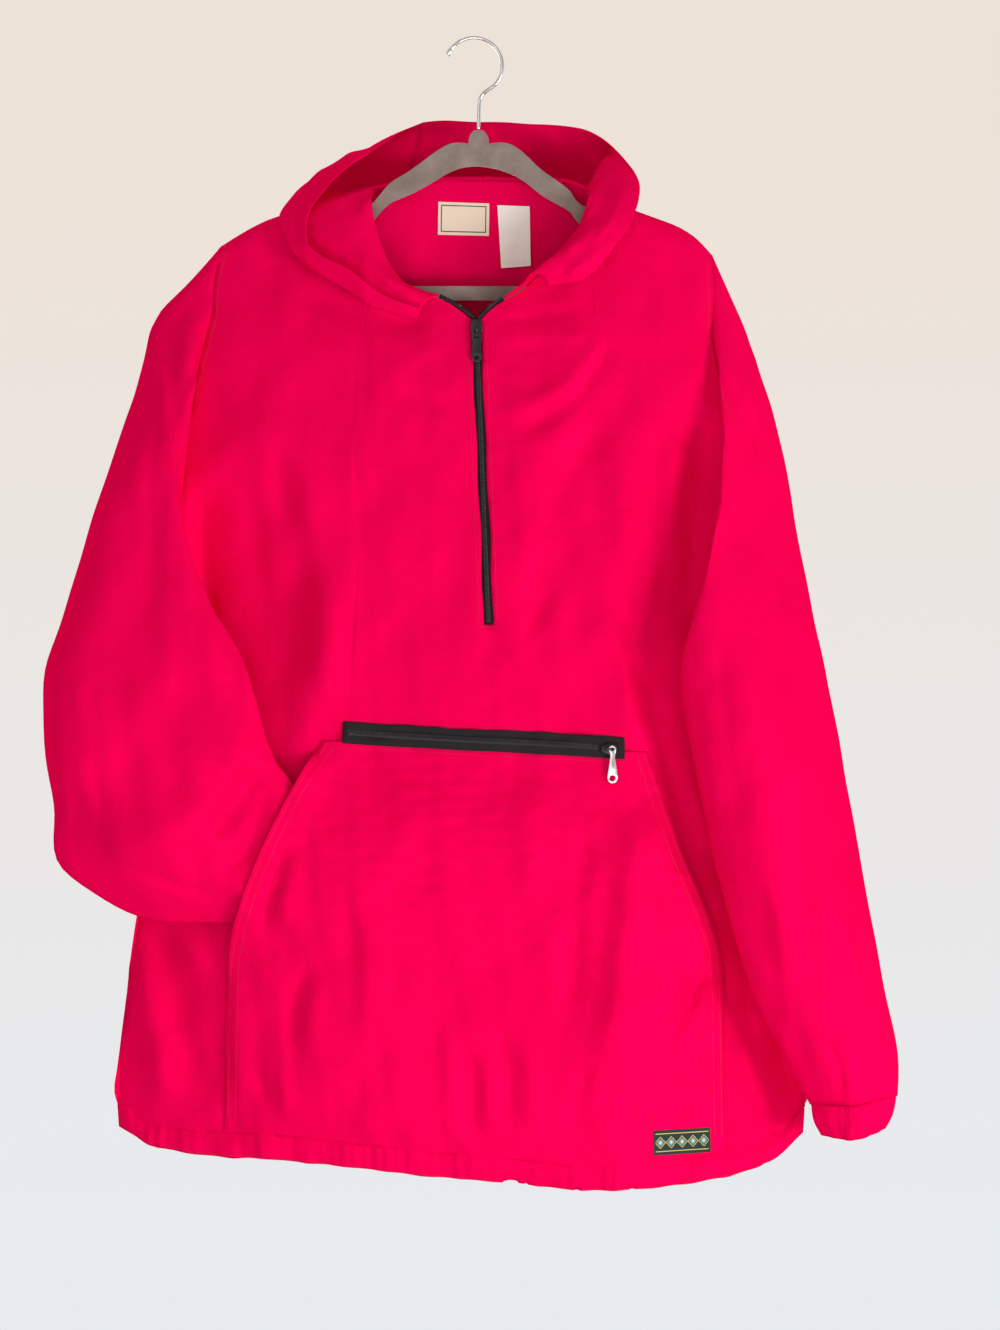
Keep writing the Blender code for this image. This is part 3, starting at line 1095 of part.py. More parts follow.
def build_pocket_pull(pivot, mat):
    """Tapered pull tab that hangs from one leg of the bridge by its eye."""
    x, y, z = pivot
    sides = [(3.4, 0.0), (2.9, -2.2), (2.0, -4.2), (2.0, -7.0), (3.0, -14.0), (4.2, -22.0),
             (4.7, -25.5), (3.6, -28.6), (1.5, -30.0)]
    arc = [(3.3 * math.cos(a), 3.3 * math.sin(a)) for a in np.linspace(0.45, math.pi - 0.45, 7)]
    outline = [(x + dx, z + dz) for dx, dz in arc]
    outline += [(x - dx, z + dz) for dx, dz in sides]
    outline += [(x + dx, z + dz) for dx, dz in reversed(sides)]
    # The eye rides on its upper rim, so the leg sits in the top of the hole.
    eye = circle(x, z, 1.5, 12)
    ring = circle(x, z - 25.4, 2.6, 12)
    plate("pocket_zip_pull", outline, [eye, ring], y - TAB_HALF_THICK, 2 * TAB_HALF_THICK, mat,
          origin=pivot)


# ---- labels ----------------------------------------------------------------------------------------------
def patch(name, corners, depth, mat, cols=6, rows=4, wall=0.8, curl=0.0):
    """A label laid on a surface: corners are x, z from top left, clockwise."""
    tl, tr, br, bl = (np.array(c, float) for c in corners)
    pts = []
    for v in np.linspace(0, 1, rows):
        line = []
        for u in np.linspace(0, 1, cols):
            x, z = (tl * (1 - u) + tr * u) * (1 - v) + (bl * (1 - u) + br * u) * v
            line.append((x, depth(x, z) - curl * v ** 2, z))
        pts.append(line)
    cloth(name, np.array(pts), mat, wall=wall)


def inside_back(x, z):
    return back_inner_face.depth(x, z) - 2 * LAY - 0.8


def on_pouch(x, z):
    return over_pouch(x, z) - 1.3 * LAY - 0.8


# ---- hanger ------------------------------------------------------------------------------------------------
def build_hanger(mat):
    """Slim padded hanger: arched arms, drop ends and the bar, cut from one flat shape."""
    def shoulder_rows(arm):
        rows = []
        for x, under in arm:
            top = body_top(x, -1) - under
            rows.append((x, top, top - HANGER_ARM_DEPTH))
        return rows

    rows = sorted(shoulder_rows(HANGER_ARM_LEFT) + HANGER_ARCH + shoulder_rows(HANGER_ARM_RIGHT))
    top = [(x, t) for x, t, _ in rows]
    block = [(-5.0, -92.0), (-4.2, -86.5), (-1.4, -81.6), (1.5, -80.0), (6.5, -80.0),
             (9.4, -81.6), (12.4, -86.5), (13.2, -92.0)]
    left = [p for p in top if p[0] < -6.5]
    right = [p for p in top if p[0] > 14.0]
    lower = HANGER_BAR_TOP - HANGER_BAR_HEIGHT
    ends_r = [(201.0, -197.0), (203.0, -210.0), (201.5, -222.0), (196.0, lower)]
    ends_l = [(-187.0, lower), (-194.0, -223.0), (-197.0, -210.0), (-197.0, -188.0)]
    outline = left + block + right + ends_r + ends_l
    hole = [(x, b) for x, _, b in rows if -180.0 < x < 186.0]
    hole += [(186.0, -205.0), (184.0, HANGER_BAR_TOP), (-176.0, HANGER_BAR_TOP), (-178.0, -205.0)]
    plate("hanger_body", outline, [hole], -HANGER_THICK / 2, HANGER_THICK, mat)


def build_hook(mat):
    cx, cz = HOOK_CENTRE
    path, radii = [], []
    tip = math.radians(160.0)
    for a in np.linspace(tip, math.radians(-44.0), 22):
        path.append((cx + HOOK_RADIUS * math.cos(a), 0.0, cz + HOOK_RADIUS * math.sin(a)))
        radii.append(WIRE_RADIUS)
    radii[0], radii[1] = 2.0, 2.7
    for x, z in ((13.0, -43.6), (7.6, -47.8), (4.9, -52.6), (4.2, -60.0), (4.0, -79.7)):
        path.append((x, 0.0, z))
        radii.append(WIRE_RADIUS)
    tube("hanger_hook", path, radii, mat, sides=8)


# ---- run --------------------------------------------------------------------------------------------
for old in list(bpy.data.objects):
    bpy.data.objects.remove(old, do_unlink=True)

RED = material("nylon_red", (0.78, 0.0, 0.06), 0.55)
TAPE = material("zip_tape_black", (0.02, 0.02, 0.024), 0.7)
DARK_METAL = material("zip_dark_metal", (0.08, 0.08, 0.085), 0.35, 1.0)
SILVER = material("zip_silver_metal", (0.62, 0.62, 0.62), 0.3, 1.0)
LABEL = material("label_cream", (0.86, 0.82, 0.70), 0.7)
CARE = material("care_tag_white", (0.88, 0.87, 0.84), 0.6)
PATCH = material("hem_patch_green", (0.02, 0.08, 0.06), 0.75)
VELVET = material("hanger_velvet_grey", (0.27, 0.24, 0.22), 0.95)
CHROME = material("hook_chrome", (0.75, 0.75, 0.74), 0.12, 1.0)

front_pts, front_inner, SLIT_END = build_front(RED)
back_pts, back_inner = build_back(RED)


def armhole_edges(column):
    """Outer and inner armhole edges of both panels, at their first or last column."""
    pairs = ((front_pts, front_inner), (back_pts, back_inner))
    low = ARMHOLE_ROWS[-1] + 1
    return [np.stack([grid[:low, column] for grid in pair]) for pair in pairs]


front_face, back_inner_face = Face(front_pts), Face(back_inner)
build_sleeve("sleeve_right", RIGHT_SLEEVE, armhole_edges(-1), 1.0, RIGHT_SLEEVE_FOLDS, RED)
left_rings = build_sleeve("sleeve_left", LEFT_SLEEVE, armhole_edges(0), -1.0,
                          LEFT_SLEEVE_FOLDS, RED)
build_cuff("cuff_right", RIGHT_CUFF, RED)
left_cuff = build_cuff("cuff_left", LEFT_CUFF, RED)
build_hem(front_pts[-1][:, (0, 2)], back_pts[-1][:, (0, 2)], RED)
build_hood(RED)
tucked = np.concatenate([left_rings.reshape(-1, 3), left_cuff.reshape(-1, 3)])
pouch_pts = build_pouch(front_face, tucked, RED)
pouch_face = Face(pouch_pts)

build_front_zip(TAPE)
front_pivot = build_front_slider(DARK_METAL)
build_front_pull(front_pivot, DARK_METAL)
build_pocket_zip(TAPE)
pocket_pivot = build_pocket_slider(DARK_METAL)
build_pocket_pull(pocket_pivot, SILVER)

patch("neck_label", ((-31.5, -142.5), (13.5, -144.0), (13.0, -172.5), (-32.0, -171.5)),
      inside_back, LABEL)
patch("care_tag", ((20.5, -145.5), (49.0, -146.5), (50.0, -199.0), (24.0, -201.0)),
      inside_back, CARE, cols=5, rows=6, curl=3.0)
patch("hem_patch", ((157.5, -959.5), (207.5, -957.5), (208.0, -979.0), (158.0, -981.5)),
      on_pouch, PATCH)

build_hanger(VELVET)
build_hook(CHROME)
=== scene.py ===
"""Looks of the hooded half-zip anorak on its slim velvet hanger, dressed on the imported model.

Millimetres in the tables, metres in Blender. The front faces -Y, +Z is up, and the origin is the
inside top of the hanger's hook. Each cloth piece takes the form of the solid that it replaces,
refined and given its creases, gathers, stitches and weave.
"""
import math

import bmesh
import bpy
import numpy as np
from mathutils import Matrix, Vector
from mathutils.bvhtree import BVHTree
from mathutils.kdtree import KDTree


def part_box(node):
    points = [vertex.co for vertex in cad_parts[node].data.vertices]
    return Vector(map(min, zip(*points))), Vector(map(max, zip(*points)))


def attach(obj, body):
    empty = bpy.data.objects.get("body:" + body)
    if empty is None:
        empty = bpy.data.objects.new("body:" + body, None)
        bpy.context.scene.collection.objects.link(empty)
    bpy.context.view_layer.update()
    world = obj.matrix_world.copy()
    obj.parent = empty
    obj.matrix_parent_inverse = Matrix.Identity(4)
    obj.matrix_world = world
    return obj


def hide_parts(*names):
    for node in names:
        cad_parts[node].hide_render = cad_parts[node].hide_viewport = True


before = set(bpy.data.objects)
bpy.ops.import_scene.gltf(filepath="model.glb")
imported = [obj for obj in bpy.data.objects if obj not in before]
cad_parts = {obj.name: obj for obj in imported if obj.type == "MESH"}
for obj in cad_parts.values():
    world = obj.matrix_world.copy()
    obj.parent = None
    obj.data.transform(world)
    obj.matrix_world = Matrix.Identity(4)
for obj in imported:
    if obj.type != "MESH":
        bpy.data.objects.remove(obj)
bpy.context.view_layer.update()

MM = 0.001
PHOTO = (1000, 1330)  # the photograph's frame
MM_PER_PIXEL = 0.88  # in the plane of the garment's front
HOOK_PIXEL = (474.0, 38.6)  # where the origin stands in the photograph

# ---- creases
# Each: points of the line as x, z, ..., then first width, second width, height.  The first
# width lies on the viewer's left of a line that is drawn downwards, below one drawn to the
# right.  Ridges are positive and stand out of the cloth, troughs are negative.
FRONT_CREASES = [
    # the big drape beside the left sleeve: crest, then the hollow that falls away from it
    (-218, -322, -190, -338, -164, -362, -140, -402, -130, -441, -126, -494, -127, -547, -136,
     -600, 17, 34, 7),
    (-196, -334, -172, -371, -160, -424, -151, -470, -146, -520, -150, -573, -156, -617, 13, 9,
     -3.6),
    (-186, -392, -177, -455, -169, -503, -162, -556, 9, 9, 2.6),
    # left chest, under the hood and beside the zip
    (-160, -222, -120, -238, -92, -246, -65, -252, -26, -250, 7, 8, -3),
    (-70, -312, -39, -324, -8, -329, 5, 8, -1.8),
    (-66, -296, -36, -306, -8, -312, 6, 6, 1.6),
    (-40, -346, -20, -350, -6, -352, 4, 6, -1.2),
    (-153, -239, -131, -268, -116, -310, 9, 14, -2.2),
    (-176, -214, -160, -262, -142, -320, 12, 16, 2),
    (-102, -290, -98, -330, -104, -368, 8, 10, -1.4),
    (-14, -262, -46, -276, -84, -300, 4, 8, 1.8),
    (-8, -282, -30, -330, -52, -380, 6, 12, 1.4),
    # right chest: drag lines from the zip up to the shoulder
    (22, -356, 56, -342, 80, -326, 104, -300, 124, -268, 128, -250, 5, 8, -3.2),
    (16, -334, 52, -322, 82, -304, 106, -276, 118, -252, 6, 8, 3),
    (24, -306, 50, -309, 72, -302, 90, -290, 4, 6, -2),
    (14, -266, 48, -262, 84, -262, 112, -270, 6, 8, 2.4),
    (20, -250, 50, -246, 80, -242, 112, -236, 4, 6, -1.8),
    (110, -330, 90, -372, 74, -410, 66, -440, 7, 12, -2),
    (84, -462, 60, -500, 44, -520, 30, -534, 5, 9, -2.2),
    (94, -452, 72, -496, 56, -530, 8, 12, 1.8),
    (140, -300, 134, -380, 128, -460, 124, -520, 10, 14, 2),
    (160, -340, 159, -400, 162, -459, 168, -500, 7, 10, -2.8),
    (180, -340, 178, -400, 176, -450, 178, -494, 8, 8, 2.4),
    # right side: the hollow beside the sleeve and the step down to the pouch
    (210, -206, 210, -256, 216, -300, 214, -330, 8, 8, -4),
    (212, -322, 204, -356, 198, -400, 190, -450, 186, -500, 184, -540, 16, 12, -7.5),
    (118, -500, 126, -546, 136, -586, 148, -622, 158, -650, 32, 9, 6),
    (142, -540, 152, -586, 162, -626, 176, -664, 190, -700, 8, 12, -6.5),
    (196, -560, 200, -620, 208, -690, 8, 9, -4.5),
    (186, -640, 198, -690, 214, -736, 222, -760, 6, 7, 4),
    (204, -706, 210, -730, 222, -752, 4, 6, -4.5),
    # right side of the pouch, down to the hem
    (224, -772, 236, -800, 244, -830, 238, -866, 6, 8, -7.5),
    (236, -796, 250, -842, 256, -884, 5, 6, 5),
    (262, -868, 272, -900, 276, -936, 7, 9, -7),
    (232, -880, 240, -920, 250, -940, 6, 8, 4),
    # left side below the sleeve: bright strip, then the fan that falls away to the pouch
    (-298, -790, -288, -850, -276, -910, -272, -940, 12, 9, 8),
    (-284, -776, -266, -840, -250, -900, -242, -940, 10, 20, -11),
    (-262, -790, -246, -806, -236, -826, 6, 8, 3.4),
    (-290, -868, -286, -892, -282, -908, 4, 5, -2),
    (-236, -906, -234, -926, -236, -944, 5, 6, -3),
]
POUCH_CREASES = [
    # the one long fold: its crest, and the hollow on its left
    (146, -664, 144, -714, 139, -758, 133, -802, 127, -855, 118, -899, 116, -930, 16, 46, 14.5),
    (98, -672, 96, -714, 90, -758, 86, -811, 80, -864, 82, -896, 12, 11, -6),
    (94, -908, 88, -930, 88, -950, 96, -966, 4, 7, -3.6),
    (112, -900, 106, -926, 108, -950, 6, 7, 2.6),
    # diagonals towards the patch
    (202, -812, 192, -832, 182, -855, 166, -880, 158, -892, 5, 8, -5),
    (210, -826, 200, -850, 188, -876, 176, -894, 8, 7, 4.4),
    (212, -912, 197, -922, 184, -940, 172, -950, 5, 7, -4.4),
    (216, -900, 200, -908, 180, -920, 6, 6, 3.6),
    (160, -930, 152, -946, 148, -962, 3.5, 5, -2.6),
    (216, -874, 190, -876, 168, -884, 4, 5, -1.4),
    # left edge, where the sleeve goes in
    (-167, -706, -174, -738, -181, -760, -188, -788, 5, 7, -3.4),
    (-154, -716, -163, -750, -170, -790, 7, 8, 2.4),
    (-144, -812, -154, -834, -159, -862, -160, -890, 7, 8, -3.8),
    (-134, -824, -142, -858, -146, -896, 8, 9, 2.6),
    (-206, -830, -190, -838, -176, -842, 4, 5, -1.8),
    (-210, -862, -194, -870, -178, -868, 4, 5, -1.6),
    (-196, -900, -186, -916, -184, -936, 5, 6, -2),
    (-172, -906, -166, -930, -168, -950, 5, 7, 2),
    # soft pleats between them
    (-58, -660, -55, -758, -34, -811, 2, -880, 16, 24, -2.2),
    (-111, -752, -108, -820, -108, -884, 8, 9, -2),
    (-92, -760, -88, -830, -90, -884, 10, 11, 1.8),
    (-104, -900, -100, -924, -104, -944, 5, 7, -2),
    (-40, -862, -35, -900, -34, -952, 7, 10, -2.4),
    (-22, -868, -18, -910, -20, -958, 6, 7, 2),
    (-2, -896, 0, -930, -1, -964, 3.5, 5, -2.6),
    (12, -890, 14, -926, 12, -966, 6, 7, 2),
    (27, -878, 30, -920, 32, -968, 6, 8, -2.4),
    (46, -880, 50, -920, 50, -966, 8, 8, 1.8),
    (-128, -690, -104, -740, -98, -800, 10, 14, 1.6),
    (40, -650, 44, -720, 36, -800, 16, 18, 1.8),
    # the stitched top of the deep hem facing
    (-200, -890, -120, -891, -20, -893, 60, -896, 90, -898, 3.5, 5, -1.2),
]
BACK_CREASES = [
    (-196, -206, -150, -300, -120, -420, -112, -520, 10, 16, 5),
    (186, -210, 146, -300, 118, -420, 110, -540, 14, 9, 5),
    (-214, -300, -190, -400, -170, -500, 12, 16, -4),
    (206, -300, 184, -400, 164, -500, 16, 12, -4),
    (-60, -300, -40, -440, -46, -620, 12, 18, -2.8),
    (64, -320, 52, -480, 58, -640, 12, 18, 2.8),
    (-236, -560, -214, -700, -196, -860, -200, -940, 8, 14, 5),
    (-170, -620, -150, -760, -146, -930, 10, 16, -4),
    (222, -560, 206, -700, 196, -860, 200, -940, 14, 8, 5),
    (160, -620, 146, -780, 140, -930, 10, 16, -4),
    (-92, -760, -88, -860, -94, -950, 7, 10, 2.6),
    (-30, -790, -26, -880, -32, -960, 6, 9, -2.2),
    (30, -770, 36, -870, 30, -964, 7, 10, 2.6),
    (92, -790, 96, -880, 90, -972, 6, 9, -2.2),
    (-252, -780, -262, -850, -246, -930, 6, 9, 3),
    (248, -780, 262, -850, 250, -930, 6, 9, 3),
    (-150, -250, -60, -262, 40, -256, 140, -248, 7, 12, -2.2),
    (-120, -276, -40, -292, 50, -284, 120, -272, 8, 12, 1.8),
]
LEFT_SLEEVE_CREASES = [
    # shoulder: the hollow between the sleeve's top and the body
    (-270, -262, -264, -310, -260, -350, 8, 9, -3),
    (-246, -230, -252, -274, -258, -318, 5, 6, 2.6),
    (-262, -318, -252, -400, -224, -508, -196, -592, 7, 14, -2.4),
    (-300, -300, -316, -400, -336, -500, 14, 20, 2.4),
    # crest where the forearm turns into the pocket, and what falls away below it
    (-198, -586, -212, -624, -230, -664, -258, -698, -300, -712, -340, -716, 26, 14, 6),
    (-196, -640, -206, -672, -228, -704, 9, 14, -6),
    (-176, -656, -190, -690, -200, -716, -222, -738, 7, 9, -5.4),
    (-210, -676, -202, -694, -196, -704, 5, 6, 4),
    (-236, -712, -244, -736, -230, -752, 6, 8, -4.6),
    (-316, -728, -276, -738, -250, -748, -226, -756, 5, 7, -4.2),
    (-300, -756, -256, -764, -220, -764, 4, 6, 2.4),
    (-214, -744, -202, -752, -194, -766, 4, 5, 3.4),
    (-348, -640, -330, -690, -320, -716, 10, 12, 1.6),
]
RIGHT_SLEEVE_CREASES = [
    (225, -296, 236, -336, 244, -370, 246, -396, 5, 6, -3.2),
    (238, -290, 250, -340, 256, -390, 7, 9, 2.4),
    (216, -420, 232, -440, 252, -450, 268, -452, 7, 9, -1.8),
    (206, -470, 222, -520, 232, -560, 10, 14, 1.8),
    (262, -480, 268, -540, 266, -590, 9, 12, -1.8),
    (298, -560, 306, -640, 314, -700, 5, 8, 1.8),
    # lower arm: long hollow on the outer side and the fine crease beside it
    (284, -640, 288, -740, 296, -800, 318, -856, 346, -902, 18, 14, -3.6),
    (318, -768, 332, -806, 346, -846, 358, -880, 3, 4, 2),
    (256, -700, 264, -770, 282, -836, 304, -892, 16, 18, 3),
    (306, -884, 320, -906, 322, -932, 4, 6, -2),
    (336, -880, 346, -906, 344, -930, 4, 5, 1.8),
]
HOOD_LEFT_CREASES = [
    (-152, -110, -158, -150, -146, -186, -120, -214, 5, 7, -2.6),
    (-166, -120, -168, -150, -160, -178, 5, 6, 2),
    (-120, -76, -136, -104, -140, -126, 6, 8, -2),
    (-100, -190, -84, -206, -62, -222, 4, 5, 1.8),
]
HOOD_RIGHT_CREASES = [
    (92, -96, 104, -126, 106, -154, 94, -182, 72, -202, 5, 8, -3.6),
    (118, -92, 130, -120, 128, -150, 110, -180, 7, 9, 2.6),
    (84, -204, 72, -214, 58, -226, 3, 4, -2.4),
    (98, -196, 84, -210, 70, -224, 3, 4, 2.2),
    (66, -206, 58, -214, 48, -220, 3, 4, 1.8),
    (134, -138, 124, -164, 108, -188, 4, 5, -1.8),
]
# Depth of the middle of a piece at a height, (z, y): creases stand out of its front half only.
MIDDLE = {
    "hood_left": ((-300, -6), (0, -6)),
    "hood_right": ((-300, -6), (0, -6)),
    "sleeve_left": ((-744, -47), (-690, -49), (-606, -48), (-512, -43), (-400, -24), (-318, -5)),
    "sleeve_right": ((-936, -57), (-768, -55), (-632, -52), (-530, -45), (-425, -26), (-322, -3)),
}
# Rigid parts that the cloth keeps its place around: x, y, z and the reach of the calm.
STILL_POINTS = [(2.3, -32, -262, 26), (121, -42, -634, 30), (2, -30, -246, 16), (0, 0, -150, 30)]
CREASE_ENDS = (0.22, 0.30)  # shares of a crease over which it rises and fades
SLOPE_ENDS = (0.20, 0.22)
SLOPE_ROUNDING = 0.2  # share of a slope that its crest takes
END_SPARE = 0.02  # a line's two ends keep a trace of its height


def smooth(t):
    """The smooth step from 0 to 1."""
    t = np.clip(t, 0.0, 1.0)
    return t * t * (3 - 2 * t)


def fading(place, ends):
    """1 along a line, fading out over its first and last shares."""
    return smooth((place + END_SPARE) / ends[0]) * smooth((1 + END_SPARE - place) / ends[1])


def broken_line(flat):
    """A line's points, and the length along it up to each."""
    pts = np.array(flat, float).reshape(-1, 2)
    return pts, np.concatenate([[0], np.cumsum(np.hypot(*np.diff(pts, axis=0).T))])


def line_field(x, z, flat):
    """Signed distance to a broken line and the place along it, 0 to 1.  Positive on the
    viewer's left of a line that is drawn downwards."""
    pts, run = broken_line(flat)
    best = np.full(x.shape, 1e9)
    signed = np.zeros(x.shape)
    place = np.zeros(x.shape)
    for k in range(len(pts) - 1):
        (ax, az), (bx, bz) = pts[k], pts[k + 1]
        length = run[k + 1] - run[k]
        dx, dz = (bx - ax) / length, (bz - az) / length
        t = np.clip(((x - ax) * dx + (z - az) * dz), 0, length)
        px, pz = x - ax - t * dx, z - az - t * dz
        d = np.hypot(px, pz)
        near = d < best
        best = np.where(near, d, best)
        signed = np.where(near, np.copysign(d, px * dz - pz * dx), signed)
        place = np.where(near, (run[k] + t) / run[-1], place)
    return signed, place


def middle_depth(node, z):
    """The depth that divides a piece's front half from its back half."""
    return np.interp(z, *np.array(MIDDLE[node], float).T)


def crease_height(x, z, creases):
    """Sum of the soft ridges and troughs: steeper on one side, fading at both ends."""
    total = np.zeros(x.shape)
    for *flat, first, second, height in creases:
        pts, _ = broken_line(flat)
        lo, hi = pts.min(0) - 3 * max(first, second), pts.max(0) + 3 * max(first, second)
        near = (x > lo[0]) & (x < hi[0]) & (z > lo[1]) & (z < hi[1])
        if not near.any():
            continue
        signed, place = line_field(x[near], z[near], flat)
        width = np.where(signed > 0, first, second)
        total[near] += height * fading(place, CREASE_ENDS) * np.exp(-(signed / width) ** 2)
    return total


def slope_field(x, z, flat, cover, fall):
    """A long side slope: it starts at the line with a rounded crest, runs on over cover to the
    line's first side, then returns over fall."""
    across, place = line_field(x, z, flat)
    t = np.clip(across / cover, 0.0, 1.0)
    crest = SLOPE_ROUNDING
    ramp = np.where(t < crest, t * t / (2 * crest), t - crest / 2) / (1 - crest / 2)
    return fading(place, SLOPE_ENDS) * ramp * (1 - smooth((across - cover) / fall))


def waves(p, seed, length, count=14):
    """A smooth random field of that wave length, about -1 to 1, at points in millimetres."""
    rng = np.random.default_rng(seed)
    total = np.zeros(len(p))
    for _ in range(count):
        way = rng.normal(size=3)
        way *= 2 * math.pi / (length * rng.uniform(0.75, 1.5) * np.linalg.norm(way))
        total += np.sin(p @ way + rng.uniform(0, 2 * math.pi))
    return total / math.sqrt(count / 2)


# The crumple's waves: seed, wave length and height, in depth.
TALL_WAVES = ((3, 74, 1.3), (4, 31, 0.8))
FINE_WAVES = (5, 17, 0.30)
DRIFT_HEIGHT, DRIFT_LENGTH, DRIFT_SEEDS = 0.35, 60, (6, 7)
TALL_STRETCH = (1.0, 1.0, 0.38)  # long soft waves run mostly up and down, as gravity leaves them
EDGE_CALM = 14.0  # the side seams, at y = 0, keep their line


def crumple(p):
    """The small unevenness of worn nylon, one field for every piece, so seams stay closed."""
    calm = np.ones(len(p))
    for x, y, z, reach in STILL_POINTS:
        calm *= smooth(np.linalg.norm(p - (x, y, z), axis=1) / reach - 0.6)
    calm *= smooth(np.abs(p[:, 1]) / EDGE_CALM)
    tall = p * TALL_STRETCH
    depth = sum(height * waves(tall, seed, length) for seed, length, height in TALL_WAVES)
    seed, length, height = FINE_WAVES
    depth = depth + height * waves(p, seed, length)
    sideways, up = (DRIFT_HEIGHT * waves(p, seed, DRIFT_LENGTH) for seed in DRIFT_SEEDS)
    return np.stack([sideways, depth, up], axis=1) * calm[:, None]


# ---- meshes
WELD = 2e-6  # metres: the CAD meshes come with their faces apart
SMALL_SHARP = math.radians(48)  # edges kept sharp on sewn-on details
CLOTH_SHARP = math.radians(50)
RIM_SHARP = math.radians(52)  # a wall's rim, on the solids
QUAD_FLAT = math.radians(70)  # triangle pairs are joined below these angles
QUAD_SHAPE = math.radians(75)
FIT_STEPS = 4  # rounds that fit the smooth form to the solid


def add_object(name, data):
    obj = bpy.data.objects.new(name, data)
    bpy.context.scene.collection.objects.link(obj)
    return obj


def subdivided(obj, name, levels):
    mod = obj.modifiers.new(name, "SUBSURF")
    mod.levels = levels
    mod.render_levels = levels


def mesh_object(name, verts, faces, mats, uv=None, picks=None):
    """A mesh object from points in millimetres."""
    mesh = bpy.data.meshes.new(name)
    points = (np.asarray(verts, float) * MM).tolist()
    mesh.from_pydata(points, [], [tuple(map(int, f)) for f in faces])
    for mat in mats:
        mesh.materials.append(mat)
    mesh.polygons.foreach_set("use_smooth", [True] * len(mesh.polygons))
    if picks is not None:
        mesh.polygons.foreach_set("material_index", picks)
    if uv is not None:
        write_uv(mesh, np.asarray(uv, float))
    bm = bmesh.new()
    bm.from_mesh(mesh)
    bmesh.ops.recalc_face_normals(bm, faces=bm.faces)
    bm.to_mesh(mesh)
    bm.free()
    mesh.set_sharp_from_angle(angle=SMALL_SHARP)
    return add_object(name, mesh)


def write_uv(mesh, uv):
    """One uv for each vertex, in metres along the cloth."""
    layer = mesh.uv_layers.new(name="cloth")
    index = np.zeros(len(mesh.loops), np.int64)
    mesh.loops.foreach_get("vertex_index", index)
    layer.data.foreach_set("uv", uv[index].astype(np.float32).ravel())


def points_of(mesh):
    """The mesh's points in millimetres."""
    co = np.zeros(len(mesh.vertices) * 3, np.float32)
    mesh.vertices.foreach_get("co", co)
    return co.reshape(-1, 3).astype(float) / MM


RIM_WIDTH = 2.2  # wall rims are narrower than this
RIM_LENGTH = 0.3  # and their edges longer than this
RIM_SHARE = 0.35  # a rim face's area, of its neighbour's
SEAM_SWELL = 0.38  # how far each rim moves to close its seam
RIM_TURN = 0.3  # where the rim's faces turn away from each other, it stays


def welded(node):
    """A node's mesh with its faces joined."""
    bm = bmesh.new()
    bm.from_mesh(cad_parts[node].data)
    bmesh.ops.remove_doubles(bm, verts=bm.verts, dist=WELD)
    return bm


def is_rim(edge):
    """Whether a wall turns sharply at this edge."""
    return len(edge.link_faces) == 2 and edge.calc_face_angle(0.0) > RIM_SHARP


def refined(name, node, level, seams=True):
    """The solid's own form on a finer smooth mesh, its rims kept sharp."""
    bm = welded(node)
    crease = bm.edges.layers.float.new("crease_edge")
    for edge in bm.edges:
        sharp = is_rim(edge)
        edge.smooth = not sharp
        edge[crease] = 1.0 if sharp else 0.0
    if seams:
        close_seams(bm)
    bmesh.ops.join_triangles(bm, faces=bm.faces[:], cmp_sharp=True,
                             angle_face_threshold=QUAD_FLAT, angle_shape_threshold=QUAD_SHAPE)
    mesh = bpy.data.meshes.new(name + "_cage")
    bm.to_mesh(mesh)
    bm.free()
    obj = add_object(name, mesh)
    subdivided(obj, "finer", level)
    # The cage is swollen step by step, until the smooth form passes through the solid's points.
    target = points_of(mesh)
    cage = target.copy()
    for _ in range(FIT_STEPS):
        done = evaluated(obj)
        cage += target - points_of(done)[:len(target)]
        bpy.data.meshes.remove(done)
        mesh.vertices.foreach_set("co", (cage * MM).astype(np.float32).ravel())
        mesh.update()
    done = evaluated(obj)
    obj.modifiers.clear()
    obj.data = done
    done.name = name
    bpy.data.meshes.remove(mesh)
    return obj


def close_seams(bm):
    """The narrow faces round a wall's rim move out, so the cloth meets its neighbour's."""
    push = {}
    for face in bm.faces:
        sharp = [e for e in face.edges if not e.smooth]
        if len(sharp) >= 1 and min(e.calc_length() for e in face.edges) < RIM_WIDTH * MM:
            rims = [e for e in sharp if e.calc_length() > RIM_LENGTH * MM]
            other = [f for e in rims for f in e.link_faces if f is not face]
            if other and face.calc_area() < RIM_SHARE * max(f.calc_area() for f in other):
                for vert in face.verts:
                    push.setdefault(vert, []).append(face.normal.copy())
    for vert, normals in push.items():
        total = sum(normals, Vector())
        if total.length > RIM_TURN:
            vert.co += total.normalized() * SEAM_SWELL * MM


def evaluated(obj):
    """The object's mesh with its modifiers applied, as a new mesh."""
    obj.data.update_tag()
    bpy.context.view_layer.update()
    graph = bpy.context.evaluated_depsgraph_get()
    return bpy.data.meshes.new_from_object(obj.evaluated_get(graph))


PIECES = {}
HALF_FADE = 12.0  # depth over which creases fade at the middle of a piece


